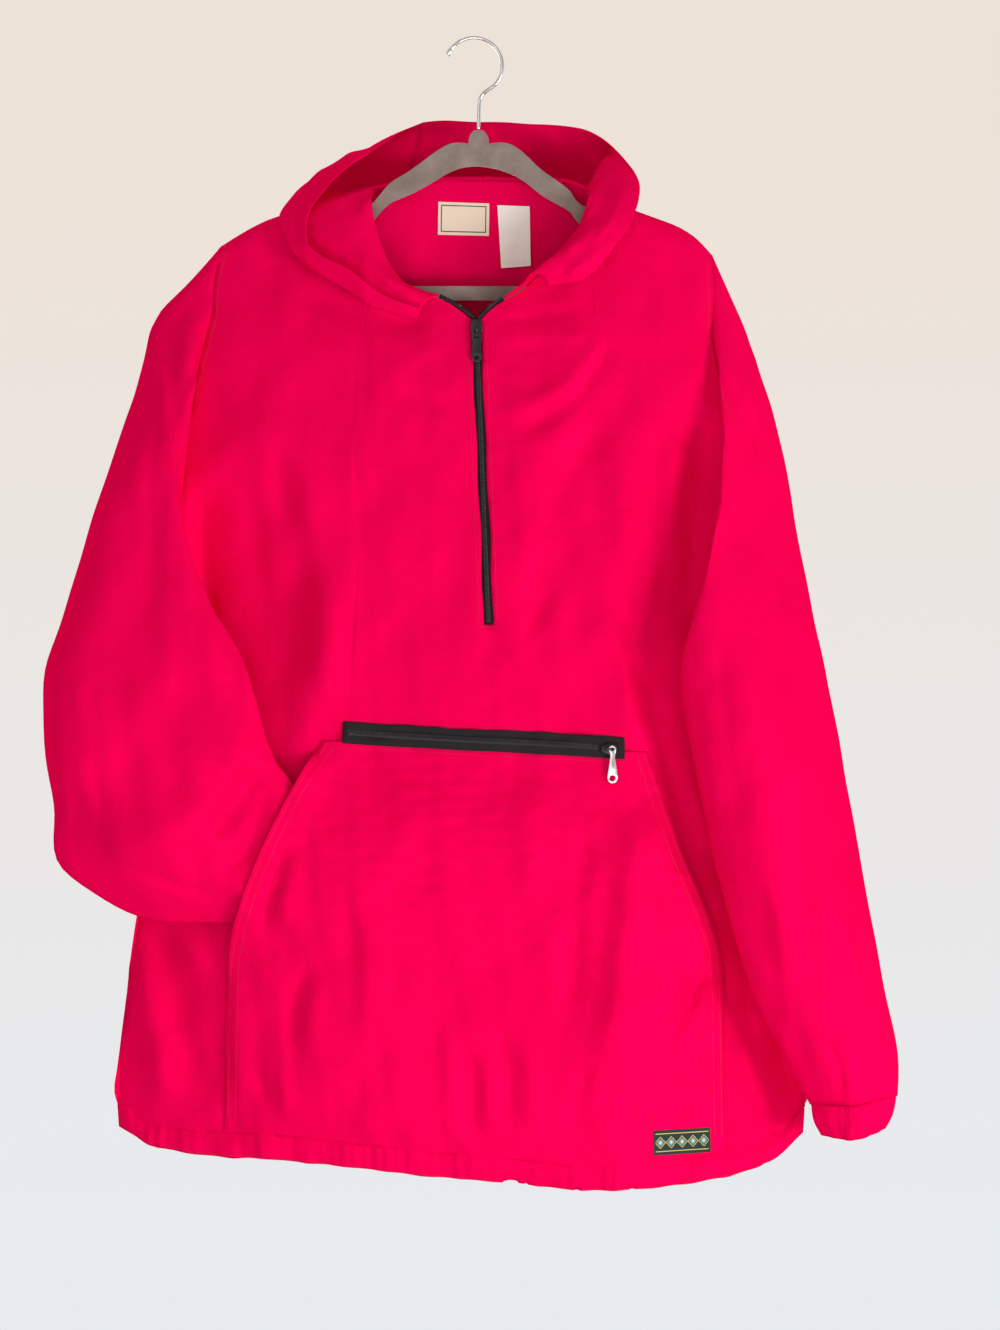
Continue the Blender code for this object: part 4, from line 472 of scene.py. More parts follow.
def dress(node, level, mat, side=0.0, creases=(), shape=None):
    """Replace a cloth solid by its finer, creased form."""
    name = "cloth_" + node
    obj = refined(name, node, level)
    mesh = obj.data
    rest = points_of(mesh)
    p = rest + crumple(rest)
    if creases:
        height = crease_height(rest[:, 0], rest[:, 2], creases)
        if node in MIDDLE:
            height *= smooth((middle_depth(node, rest[:, 2]) - rest[:, 1]) / HALF_FADE)
        calm = rim_calm(node, rest)
        p[:, 1] += side * height * calm
        slopes(node, rest, p, calm)
    if node in SLEEVE_FILL:
        fill_edge(node, rest, p)
    if shape:
        p = shape(rest, p)
    if node in HEM_PIECES:
        over_hem(node, rest, p)
    mesh.vertices.foreach_set("co", (p * MM).astype(np.float32).ravel())
    mesh.materials.clear()
    mesh.materials.append(mat)
    write_uv(mesh, cloth_uv(node, rest) * MM)
    mesh.polygons.foreach_set("use_smooth", [True] * len(mesh.polygons))
    mesh.set_sharp_from_angle(angle=CLOTH_SHARP)
    mesh.update()
    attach(obj, "garment")
    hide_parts(node)
    PIECES[node] = obj
    return obj


SEAM_HOLD, SEAM_FADE = 1.5, 14.0  # creases start this far from a seam, and rise over the second


def rim_calm(node, p):
    """Creases fade out at the piece's own edges, where its seams hold it."""
    bm = welded(node)
    tree = KDTree(4 * len(bm.edges))
    for edge in filter(is_rim, bm.edges):
        a, b = edge.verts[0].co, edge.verts[1].co
        for t in (0.0, 0.25, 0.5, 0.75):
            tree.insert(a.lerp(b, t), 0)
    tree.balance()
    bm.free()
    gap = np.array([tree.find(Vector(q * MM))[2] for q in p]) / MM
    return smooth((gap - SEAM_HOLD) / SEAM_FADE)


SLEEVE_ROUND = 60.0  # a sleeve's cloth is unrolled about a bend of this radius
UNROLL = 40.0
LEAN = 0.6  # share of a point's depth that its place in the weave takes


def cloth_uv(node, p):
    """A place in the weave for each point, in millimetres along the cloth."""
    if node.startswith(("sleeve", "cuff")):
        depth = middle_depth("sleeve_left" if "left" in node else "sleeve_right", p[:, 2])
        bend = np.arctan2(p[:, 1] - depth, SLEEVE_ROUND)
        return np.stack([p[:, 0] + UNROLL * bend, p[:, 2]], axis=1)
    return np.stack([p[:, 0] + LEAN * p[:, 1], p[:, 2] + LEAN * p[:, 1]], axis=1)


RAY_START = 0.4  # metres before or behind the garment


class Surface:
    """Where a straight line from the front or the back meets the dressed pieces."""

    def __init__(self, *objs):
        verts, faces = [], []
        for obj in objs:
            base = len(verts)
            verts += [v.co for v in obj.data.vertices]
            faces += [[base + i for i in f.vertices] for f in obj.data.polygons]
        self.tree = BVHTree.FromPolygons(verts, faces)

    def at(self, x, z, side=-1):
        start = Vector((x * MM, side * RAY_START, z * MM))
        hit, normal, _, _ = self.tree.ray_cast(start, Vector((0, -side, 0)))
        if hit is None:
            return None, None
        n = np.array(normal)
        return np.array(hit) / MM, n if n[1] * side > 0 else -n


# ---- materials
WAVE_SCALE = 0.314  # a wave texture's scale for threads one metre apart


class Nodes:
    """Short hand for the node tree of a material, or of the surroundings."""

    def __init__(self, name, kind="materials", shader="Principled BSDF"):
        self.mat = getattr(bpy.data, kind).new(name)
        self.mat.use_nodes = True
        self.tree = self.mat.node_tree
        self.shader = self.tree.nodes[shader]

    def add(self, kind, **values):
        node = self.tree.nodes.new(kind)
        for key, value in values.items():
            key = key if hasattr(node, key) else key.replace("_", " ")
            if key in node.inputs:
                node.inputs[key].default_value = value
            else:
                setattr(node, key, value)
        return node

    def link(self, a, b):
        self.tree.links.new(a, b)

    def set(self, **values):
        for key, value in values.items():
            self.shader.inputs[key.replace("_", " ")].default_value = value

    def noise(self, scale, detail=3.0, rough=0.55):
        coords = self.add("ShaderNodeTexCoord")
        tex = self.add("ShaderNodeTexNoise", Scale=scale, Detail=detail, Roughness=rough)
        self.link(coords.outputs["Object"], tex.inputs["Vector"])
        return tex.outputs["Fac"]

    def weave(self, pitch):
        """Threads both ways, pitch in metres."""
        coords = self.add("ShaderNodeTexCoord")
        parts = []
        for way in ("X", "Y"):
            tex = self.add("ShaderNodeTexWave", bands_direction=way, Scale=WAVE_SCALE / pitch,
                           Distortion=0.6, Detail=1.0)
            self.link(coords.outputs["UV"], tex.inputs["Vector"])
            parts.append(tex.outputs["Fac"])
        both = self.add("ShaderNodeMath", operation="MAXIMUM")
        self.link(parts[0], both.inputs[0])
        self.link(parts[1], both.inputs[1])
        return both.outputs[0]

    def between(self, fac, a, b, low=0.0, high=1.0):
        """A colour from a to b as fac goes from low to high."""
        ramp = self.add("ShaderNodeValToRGB")
        ramp.color_ramp.elements[0].position = low
        ramp.color_ramp.elements[1].position = high
        ramp.color_ramp.elements[0].color = (*a, 1.0)
        ramp.color_ramp.elements[1].color = (*b, 1.0)
        self.link(fac, ramp.inputs["Fac"])
        return ramp.outputs["Color"]

    def value(self, fac, low, high, start=0.0, end=1.0, kind="LINEAR"):
        """A number from low to high as fac goes from start to end."""
        node = self.add("ShaderNodeMapRange", interpolation_type=kind,
                        From_Min=start, From_Max=end, To_Min=low, To_Max=high)
        self.link(fac, node.inputs["Value"])
        return node.outputs[0]

    def colour(self, *between):
        self.link(self.between(*between), self.shader.inputs["Base Color"])

    def roughness(self, *value):
        self.link(self.value(*value), self.shader.inputs["Roughness"])

    def bump(self, *pairs):
        """Stack bumps: (height output, strength, distance in metres)."""
        last = None
        for height, strength, distance in pairs:
            node = self.add("ShaderNodeBump", Strength=strength, Distance=distance)
            self.link(height, node.inputs["Height"])
            if last:
                self.link(last.outputs["Normal"], node.inputs["Normal"])
            last = node
        self.link(last.outputs["Normal"], self.shader.inputs["Normal"])


def nylon():
    """Crisp thin nylon: even crimson, a low satin sheen, fine threads and small puckers."""
    n = Nodes("nylon_shell")
    n.colour(n.noise(9.0, 4.0), (0.78, 0.0003, 0.072), (0.85, 0.0004, 0.081), 0.3, 0.7)
    n.roughness(n.noise(120.0), 0.42, 0.56)
    n.set(Metallic=0.12, Specular_IOR_Level=0.0, Specular_Tint=(1.0, 0.05, 0.22, 1.0))
    n.bump((n.noise(24.0, 4.0, 0.55), 0.5, 0.0040), (n.noise(70.0, 4.0, 0.5), 0.35, 0.0014),
           (n.noise(260.0, 3.0), 0.12, 0.0004), (n.weave(0.0009), 0.10, 0.00012))
    return n.mat


def tape(name, dark, light):
    """Woven polyester zip tape."""
    n = Nodes(name)
    n.colour(n.weave(0.0008), dark, light)
    n.roughness(n.noise(300.0), 0.7, 0.9)
    n.set(Specular_IOR_Level=0.08)
    n.bump((n.weave(0.0008), 0.5, 0.0003), (n.noise(200.0), 0.2, 0.0004))
    return n.mat


def plastic(name, colour, rough):
    """Moulded or extruded plastic with faint wear."""
    n = Nodes(name)
    lighter = tuple(min(1.0, 1.5 * c + 0.01) for c in colour)
    n.colour(n.noise(180.0, 5.0), colour, lighter, 0.45, 0.75)
    n.roughness(n.noise(90.0), rough - 0.08, rough + 0.1)
    n.bump((n.noise(700.0), 0.15, 0.0001))
    return n.mat


def metal(name, colour, rough, grain=400.0):
    """Plated metal with fine scratches and a slightly uneven polish."""
    n = Nodes(name)
    dull = tuple(0.72 * c for c in colour)
    n.colour(n.noise(60.0, 5.0), dull, colour, 0.35, 0.6)
    n.roughness(n.noise(grain, 4.0), rough * 0.7, rough * 1.5)
    n.set(Metallic=1.0)
    n.bump((n.noise(grain, 5.0), 0.12, 0.0001))
    return n.mat


def velvet():
    """Short grey-brown flock: soft sheen at grazing angles and a mottled nap."""
    n = Nodes("flocked_velvet")
    n.colour(n.noise(38.0, 6.0, 0.7), (0.210, 0.165, 0.145), (0.330, 0.265, 0.236), 0.3, 0.7)
    n.set(Roughness=0.95, Specular_IOR_Level=0.1, Sheen_Weight=0.55, Sheen_Roughness=0.35,
          Sheen_Tint=(0.95, 0.88, 0.82, 1.0))
    n.bump((n.noise(1400.0, 2.0), 0.5, 0.0004), (n.noise(60.0, 5.0), 0.25, 0.0008))
    return n.mat


def woven(name, dark, light, pitch=0.0006, rough=0.7):
    """A woven label or embroidery ground."""
    n = Nodes(name)
    n.colour(n.weave(pitch), dark, light)
    n.roughness(n.noise(220.0), rough - 0.1, rough + 0.08)
    n.set(Specular_IOR_Level=0.25, Sheen_Weight=0.1)
    n.bump((n.weave(pitch), 0.5, 0.0002), (n.noise(90.0), 0.15, 0.0006))
    return n.mat


NYLON = nylon()
THREAD = woven("sewing_thread", (0.62, 0.001, 0.035), (0.82, 0.002, 0.05), 0.0004, 0.55)
TAPE = tape("zip_tape_weave", (0.004, 0.003, 0.004), (0.018, 0.012, 0.015))
POCKET_TAPE = tape("pocket_tape_weave", (0.006, 0.005, 0.006), (0.030, 0.024, 0.028))
COIL = plastic("zip_coil", (0.020, 0.018, 0.020), 0.38)
DARK_METAL = metal("dark_zip_metal", (0.050, 0.046, 0.050), 0.34)
SILVER = metal("silver_zip_metal", (0.80, 0.80, 0.81), 0.22)
CHROME = metal("chrome_wire", (0.88, 0.88, 0.89), 0.09, 900.0)
VELVET = velvet()
LABEL = woven("label_weave", (0.78, 0.61, 0.48), (0.92, 0.77, 0.62))
LABEL_EDGE = woven("label_border_thread", (0.05, 0.05, 0.045), (0.10, 0.10, 0.09))
CARE = woven("care_satin", (0.96, 0.87, 0.79), (0.99, 0.93, 0.86), 0.0005, 0.45)
PATCH = woven("patch_green_weave", (0.004, 0.020, 0.016), (0.010, 0.040, 0.030))
PATCH_GOLD = woven("patch_gold_thread", (0.50, 0.36, 0.10), (0.66, 0.50, 0.18))
PATCH_TEAL = woven("patch_teal_thread", (0.06, 0.22, 0.24), (0.12, 0.36, 0.38))
PATCH_PALE = woven("patch_pale_thread", (0.50, 0.50, 0.44), (0.62, 0.62, 0.56))


# ---- cloth pieces
HEM_LINE = [(-304, -944), (-290, -954), (-240, -963), (-153, -969), (-65, -979), (22, -987),
            (76, -993), (111, -995), (155, -993), (190, -989), (235, -980), (270, -965),
            (286, -950)]
HEM_RIDGES = 58  # fine gathers round half of the hem band
CUFF_RIDGES = 26
GATHER_HEIGHT = 0.5
CUFF_TOP_OUT, CUFF_TOP_UP = 2.4, 1.4  # how far a cuff's top comes out over the sleeve's end


def gather_hem(rest, p):
    """Fine uneven gathers of the elastic casing, deepest at its middle."""
    lo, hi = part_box("hem_band")
    across = (rest[:, 0] - lo[0] / MM) / ((hi[0] - lo[0]) / MM)
    uneven = 0.6 + 0.5 * np.sin(11.0 * across + 1.0) * np.sin(29.0 * across)
    ridge = np.cos(math.pi * 2 * HEM_RIDGES * across + 2.2 * np.sin(17.0 * across))
    side = np.sign(rest[:, 1])
    share = smooth(np.abs(rest[:, 1]) / 12.0)
    out = p.copy()
    out[:, 1] += side * share * GATHER_HEIGHT * uneven * ridge
    return out


def gather_cuff(node):
    """The gathers of a cuff, round its middle."""
    lo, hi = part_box(node)
    centre = (np.array(lo) + np.array(hi)) / 2 / MM

    def shape(rest, p):
        angle = np.arctan2(rest[:, 2] - centre[2], rest[:, 0] - centre[0])
        ridge = np.cos(CUFF_RIDGES * angle + 1.5 * np.sin(3 * angle))
        out = p.copy()
        front = smooth((centre[1] - rest[:, 1]) / 8.0)
        top = smooth((rest[:, 2] - centre[2]) / 14.0)
        out[:, 1] -= (GATHER_HEIGHT * ridge + CUFF_TOP_OUT * top) * front
        out[:, 2] += CUFF_TOP_UP * top
        return out
    return shape


# Broad slopes of the cloth: the line that the slope starts from, with the slope on its first
# side, its width, the width it returns over, and its height.
SLOPES = {"front_panel": [
    # the left chest falls away towards the sleeve, from a crest beside the placket
    (-214, -318, -186, -336, -158, -362, -138, -398, -128, -440, -122, -490, -123, -545, -134,
     -600, -146, -640, 112, 26, -14),
    # the right chest dips towards the right sleeve
    (196, -700, 176, -640, 158, -560, 150, -500, 152, -440, 160, -380, 172, -310, 40, 30, -6),
]}


def slopes(node, rest, p, calm):
    """Add a piece's broad slopes to its front."""
    for *flat, cover, fall, height in SLOPES.get(node, ()):
        p[:, 1] -= height * calm * slope_field(rest[:, 0], rest[:, 2], flat, cover, fall)


# The left sleeve stays full up to its outer edge: reach from the edge, fade, height, and the
# heights of its top and bottom.
SLEEVE_FILL = {"sleeve_left": (13.0, 66.0, 21.0, -300.0, -690.0)}
FILL_STEP, FILL_SPARE = 6.0, 30.0  # spacing of the levels at which the edge is found
FILL_RISE = (110.0, 60.0)  # heights over which the fill grows from its top and bottom


def fill_edge(node, rest, p):
    """Push the front of a sleeve out beside its outer edge, its back half left where it is."""
    reach, fade, height, top, bottom = SLEEVE_FILL[node]
    solid = Surface(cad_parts[node])
    levels = np.arange(bottom - FILL_SPARE, top + FILL_SPARE, FILL_STEP)
    edge = np.array([rest[np.abs(rest[:, 2] - z) < FILL_STEP, 0].min() for z in levels])
    edge = np.convolve(np.pad(edge, 3, mode="edge"), np.ones(7) / 7, mode="valid")
    gap = rest[:, 0] - np.interp(rest[:, 2], levels, edge)
    share = (smooth((top - rest[:, 2]) / FILL_RISE[0])
             * smooth((rest[:, 2] - bottom) / FILL_RISE[1]))
    lift = height * share * smooth(gap / reach) * (1 - smooth((gap - reach) / fade))
    for k in np.nonzero(lift > 0.05)[0]:
        near, _ = solid.at(rest[k, 0], rest[k, 2], -1)
        far, _ = solid.at(rest[k, 0], rest[k, 2], 1)
        if near is not None and far is not None:
            middle = (near[1] + far[1]) / 2
            p[k, 1] -= lift[k] * smooth((middle - rest[k, 1]) / (0.8 * (middle - near[1]) + 0.5))


HEM_SPAN = (-935.0, -1014.0)  # heights that the hem's roll lies between
HEM_STEP = (3.0, 1.5)
HEM_PIECES = ("front_panel", "pouch", "hem_band")
HEM_LAYER = 2.0  # depth that the cloth takes behind the rolled front
HEM_TUCK = 2.2  # how far the band's top goes up behind the cloth above it
HEM_BACK = 1.2  # and how far back
HEM_OVERLAP = 6.0  # the height of the band that does so
HEM_WIDTH = (-312.0, 292.0)
POUCH_LAYER = 2.5  # more depth where the pouch lies on the front
ROLL_BLURS = 5  # rounds of smoothing along the hem


def hem_roll():
    """The front's depth along the hem, and how far it moves out to run on over the sewn groove."""
    solids = Surface(*(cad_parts[n] for n in HEM_PIECES))
    xs = np.arange(*HEM_WIDTH, HEM_STEP[0])
    down = np.arange(-HEM_SPAN[0], -HEM_SPAN[1], HEM_STEP[1])
    depth, roll = np.zeros((2, len(xs), len(down)))
    for i, x in enumerate(xs):
        spots = [(t, solids.at(x, -t)[0]) for t in down]
        line = np.array([(t, -spot[1]) for t, spot in spots if spot is not None])
        hull = []                 # the foremost line that the cloth can follow without a hollow
        for q in line:
            while len(hull) > 1:
                (ta, va), (tb, vb) = hull[-2], hull[-1]
                if (tb - ta) * (q[1] - va) - (vb - va) * (q[0] - ta) < 0:
                    break
                hull.pop()
            hull.append(q)
        depth[i] = -np.interp(down, *line.T)
        roll[i] = np.interp(down, *np.array(hull).T) + depth[i]
    total = depth - roll
    for _ in range(ROLL_BLURS):
        inner = np.pad(total, ((1, 1), (0, 0)), mode="edge")
        total = (inner[:-2] + 2 * inner[1:-1] + inner[2:]) / 4
    return xs, down, depth, total


HEM_XS, HEM_DOWN, HEM_DEPTH, HEM_ROLLED = hem_roll()


def grid_value(table, x, z):
    """A table's value between its columns and rows."""
    i = np.clip((x - HEM_XS[0]) / HEM_STEP[0], 0, len(HEM_XS) - 1.001)
    k = np.clip((-z - HEM_DOWN[0]) / HEM_STEP[1], 0, len(HEM_DOWN) - 1.001)
    i0, k0 = i.astype(int), k.astype(int)
    low = table[i0, k0] * (k0 + 1 - k) + table[i0, k0 + 1] * (k - k0)
    high = table[i0 + 1, k0] * (k0 + 1 - k) + table[i0 + 1, k0 + 1] * (k - k0)
    return low * (i0 + 1 - i) + high * (i - i0)


def over_hem(node, rest, p):
    """The cloth's front runs on to the bottom edge, and the band's top is tucked behind it."""
    x, y, z = rest.T
    depth = grid_value(HEM_DEPTH, x, z)
    rolled = grid_value(HEM_ROLLED, x, z)
    layer = HEM_LAYER + (POUCH_LAYER * pouch_share(x, z) if node == "front_panel" else 0.0)
    new = rolled + np.clip(y - depth, 0.0, layer)
    front = smooth((-2.0 - y) / 6.0)
    share = smooth((depth - rolled) / 0.8) * front * smooth((HEM_SPAN[0] - z) / 8.0)
    p[:, 1] += share * (new - y)
    if node == "hem_band":
        line = np.array(HEM_LINE, float)
        near = smooth(1 - (np.interp(x, line[:, 0], line[:, 1]) - z) / HEM_OVERLAP) * front
        p[:, 1] += HEM_BACK * near
        p[:, 2] += HEM_TUCK * near


def under_pouch(rest, p):
    """The front stays flat where the pouch lies on it."""
    inside = pouch_share(rest[:, 0], rest[:, 2])
    out = p.copy()
    out[:, 1] = p[:, 1] + inside * np.maximum(0.0, rest[:, 1] - p[:, 1])
    return out


POUCH_LEFT = [(-131, -618), (-158, -657), (-180, -700), (-198, -742), (-209, -776),
              (-216, -812), (-218, -884)]
POUCH_RIGHT = [(152, -628), (166, -670), (182, -714), (200, -756), (216, -800), (219, -838),
               (220, -908)]
POUCH_OUTLINE = POUCH_LEFT + [(-219, -990), (221, -990)] + POUCH_RIGHT[::-1]
POUCH_FADE = 14.0


def pouch_share(x, z):
    """1 inside the pouch's outline, fading to 0 outside it."""
    pts = np.array(POUCH_OUTLINE, float)
    inside = np.zeros(x.shape, bool)
    near = np.full(x.shape, 1e9)
    for (ax, az), (bx, bz) in zip(pts, np.roll(pts, -1, axis=0)):
        cross = (az > z) != (bz > z)
        with np.errstate(divide="ignore", invalid="ignore"):
            at = (bx - ax) * (z - az) / (bz - az) + ax
        inside ^= cross & (x < at)
        length = math.hypot(bx - ax, bz - az)
        t = np.clip(((x - ax) * (bx - ax) + (z - az) * (bz - az)) / length ** 2, 0, 1)
        near = np.minimum(near, np.hypot(x - ax - t * (bx - ax), z - az - t * (bz - az)))
    return np.where(inside, 1.0, smooth(1 - near / POUCH_FADE))


dress("front_panel", 2, NYLON, -1.0, FRONT_CREASES, under_pouch)
dress("back_panel", 2, NYLON, 1.0, BACK_CREASES)
dress("sleeve_left", 2, NYLON, -1.0, LEFT_SLEEVE_CREASES)
dress("sleeve_right", 2, NYLON, -1.0, RIGHT_SLEEVE_CREASES)
dress("cuff_left", 2, NYLON, shape=gather_cuff("cuff_left"))
dress("cuff_right", 2, NYLON, shape=gather_cuff("cuff_right"))
dress("hem_band", 2, NYLON, shape=gather_hem)
dress("hood_left", 2, NYLON, -1.0, HOOD_LEFT_CREASES)
dress("hood_right", 2, NYLON, -1.0, HOOD_RIGHT_CREASES)
dress("pouch", 3, NYLON, -1.0, POUCH_CREASES)
ZIP_TAPES = ("front_zip_tape", "pocket_zip_tape")
for zip_tape, kind in zip(ZIP_TAPES, (TAPE, POCKET_TAPE)):
    dress(zip_tape, 2, kind)

# What a straight line from the front or the back meets.
FRONT, BODY, BACK, ZIPS, INSIDE_BACK = (Surface(*(PIECES[n] for n in nodes)) for nodes in (
    (*HEM_PIECES, *ZIP_TAPES, "sleeve_left", "sleeve_right"), HEM_PIECES,
    ("back_panel", "hem_band"), ZIP_TAPES, ("back_panel",)))


# ---- sewing
STITCH_PITCH = 3.2
STITCH_LENGTH = 2.3
STITCH_WIDTH = 0.32
STITCH_HEIGHT = 0.22
STITCH_LIFT = 0.04
STITCH_JUMP = 1.8  # a stitch longer than this many lengths would bridge a gap
STITCH_ENDS = (0.45, 0.1)  # width and height of its two ends
STITCH_BODY = (1.0, 0.8)
STITCH_MIDDLE = (1.0, 1.0)
STITCH_RING = ((-1, -0.3), (-0.6, 0.75), (0.6, 0.75), (1, -0.3))  # across, up


def resample(pts, pitch):
    """Evenly spaced points along a broken line."""
    pts, run = broken_line(pts)
    count = max(2, int(run[-1] / pitch) + 1)
    at = np.linspace(0, run[-1], count)
    return np.stack([np.interp(at, run, pts[:, c]) for c in range(2)], axis=1)


def tube(base, sides, rings):
    """Faces round a run of rings of points, without its ends."""
    return [(base + sides * i + k, base + sides * i + (k + 1) % sides,
             base + sides * (i + 1) + (k + 1) % sides, base + sides * (i + 1) + k)
            for i in range(rings - 1) for k in range(sides)]


def stitches(name, rows, surface, side=-1):
    """Rows of short thread bars lying on the cloth."""
    verts, faces = [], []
    share = STITCH_LENGTH / STITCH_PITCH / 2
    for row in rows:
        spots = resample(row, STITCH_PITCH)
        for (ax, az), (bx, bz) in zip(spots[:-1], spots[1:]):
            mx, mz, hx, hz = (ax + bx) / 2, (az + bz) / 2, (bx - ax) * share, (bz - az) * share
            a, _ = surface.at(mx - hx, mz - hz, side)
            b, _ = surface.at(mx + hx, mz + hz, side)
            m, nm = surface.at(mx, mz, side)
            if a is None or b is None or m is None:
                continue
            if np.linalg.norm(b - a) > STITCH_JUMP * STITCH_LENGTH:
                continue
            along = (b - a) / np.linalg.norm(b - a)
            across = np.cross(along, nm)
            across /= max(np.linalg.norm(across), 1e-6)
            base = len(verts)
            for point, (wide, high) in ((a, STITCH_ENDS), (a * 0.8 + b * 0.2, STITCH_BODY),
                                        (m, STITCH_MIDDLE), (a * 0.2 + b * 0.8, STITCH_BODY),
                                        (b, STITCH_ENDS)):
                for turn, lift in STITCH_RING:
                    verts.append(point + across * turn * wide * STITCH_WIDTH
                                 + nm * (lift * high * STITCH_HEIGHT + STITCH_LIFT))
            faces += tube(base, 4, 5)
            faces += [tuple(range(base, base + 4)), tuple(range(base + 19, base + 15, -1))]
    obj = mesh_object(name, verts, faces, [THREAD])
    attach(obj, "garment")


def directions(pts):
    """The way that a line runs at each of its points, one long."""
    step = np.gradient(pts, axis=0)
    return step / np.linalg.norm(step, axis=1, keepdims=True)


def shifted(pts, by):
    """The same line moved sideways by a distance, to the viewer's right where it is drawn
    downwards and the distance is positive."""
    pts = np.array(pts, float)
    step = directions(pts)
    return pts + by * np.stack([-step[:, 1], step[:, 0]], axis=1)


LEFT_OPENING = POUCH_LEFT + [(-219, -950)]
RIGHT_OPENING = POUCH_RIGHT + [(221, -966)]
OPENING_ROWS = (3.0, 9.5)  # two rows of stitches this far in from the pouch's edges
FACING_ROW = -17.0  # above the hem's seam
ZIP_LEFT_EDGE = [(-3.6, -252), (6.8, -512)]
ZIP_RIGHT_EDGE = [(7.8, -252), (18.0, -512)]
POCKET_TOP = [(-117, -598), (0, -605), (134, -612)]
POCKET_LOW = [(-120, -624), (0, -631), (136, -638)]
ARMHOLE_LEFT = [(-222, -186), (-229, -214), (-231, -246), (-243, -290), (-250, -322)]
ARMHOLE_RIGHT = [(209, -195), (211, -225), (210, -262), (219, -300), (229, -336)]

stitches("stitches_front", [
    *(shifted(LEFT_OPENING, row) for row in OPENING_ROWS),
    *(shifted(RIGHT_OPENING, -row) for row in OPENING_ROWS),
    shifted(ZIP_LEFT_EDGE, -2.6), shifted(ZIP_RIGHT_EDGE, 2.6),
    [(4.0, -517.5), (21.0, -517.5)],
    shifted(POCKET_TOP, -1.0), shifted(POCKET_LOW, 1.0),
    shifted(HEM_LINE, FACING_ROW),
    shifted(ARMHOLE_LEFT, 4.0), shifted(ARMHOLE_RIGHT, -4.0),
], FRONT)
stitches("stitches_back", [shifted(HEM_LINE, 1.6), shifted(HEM_LINE, FACING_ROW),
                           shifted(ARMHOLE_LEFT, 4.0), shifted(ARMHOLE_RIGHT, -4.0)], BACK, 1)


# ---- zips
# A coil's bar: its outline across and along the zip, and its rings' level and scale.
BEAD_RING = ((-1.0, -0.55), (-0.6, -1.0), (0.6, -1.0), (1.0, -0.55), (1.0, 0.55), (0.6, 1.0),
             (-0.6, 1.0), (-1.0, 0.55))
BEAD_LEVELS = ((-0.2, 1.0), (0.6, 1.0), (1.0, 0.7))


def beads(name, rows, mat, size):
    """Small rounded bars in rows: the coil of a zip.  rows: (points, pitch, sideways offset,
    tilt)."""
    half_long, half_wide, high = size
    verts, faces = [], []
    for pts, pitch, offset, tilt in rows:
        line = resample(pts, pitch)
        for (x, z), (dx, dz) in zip(line, directions(line)):
            sx, sz = dz, -dx
            spot, _ = ZIPS.at(x + offset * sx, z + offset * sz)
            if spot is None:
                continue
            along = np.array((dx, 0.0, dz))
            across = np.array((sx + tilt * dx, 0.0, sz + tilt * dz))
            base = len(verts)
            for level, scale in BEAD_LEVELS:
                for u, v in BEAD_RING:
                    verts.append(spot + across * u * half_wide * scale
                                 + along * v * half_long * scale
                                 + np.array((0.0, -level * high, 0.0)))
            faces += tube(base, 8, 3)
            faces += [tuple(range(base + 16, base + 24)), tuple(range(base + 7, base - 1, -1))]
    obj = mesh_object(name, verts, faces, [mat])
    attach(obj, "garment")
    return obj


FRONT_COIL = [(2.5, -266), (12.5, -513)]
ARM_LEFT = [(-28.6, -227.0), (-13.2, -235.8), (-0.2, -245.6)]
ARM_RIGHT = [(23.4, -228.6), (13.8, -236.0), (4.2, -245.6)]
POCKET_COIL = [(-110, -610.6), (-60, -613.6), (0, -617.0), (66, -620.2), (108, -623.0)]
COIL_SIZE = (0.5, 1.25, 0.75)  # half along, half across, height
beads("front_zip_coil", [(FRONT_COIL, 1.5, -0.8, 0.25), (FRONT_COIL, 1.5, 0.8, -0.25),
                         (ARM_LEFT, 1.5, 0.2, 0.2), (ARM_RIGHT, 1.5, -0.2, -0.2)], COIL, COIL_SIZE)
beads("pocket_zip_coil", [(POCKET_COIL, 1.6, -1.1, 0.25), (POCKET_COIL, 1.6, 1.1, -0.25)],
      COIL, (0.55, 1.7, 0.8))
beads("zip_stops", [([(-12.6, -235.0), (-14.2, -239.0)], 4.0, 0.0, 0.0),
                            ([(14.6, -234.6), (16.4, -238.4)], 4.0, 0.0, 0.0),
                            ([(-108.4, -610.8), (-105.0, -611.0)], 3.0, 0.0, 0.0)],
              DARK_METAL, (1.2, 1.6, 1.0))


# ---- labels
LABEL_WALL = 0.5
LABEL_RUFFLE = 0.25
LABEL_SMOOTHING = 6  # a label is stiffer than the cloth under it, and rides over waves


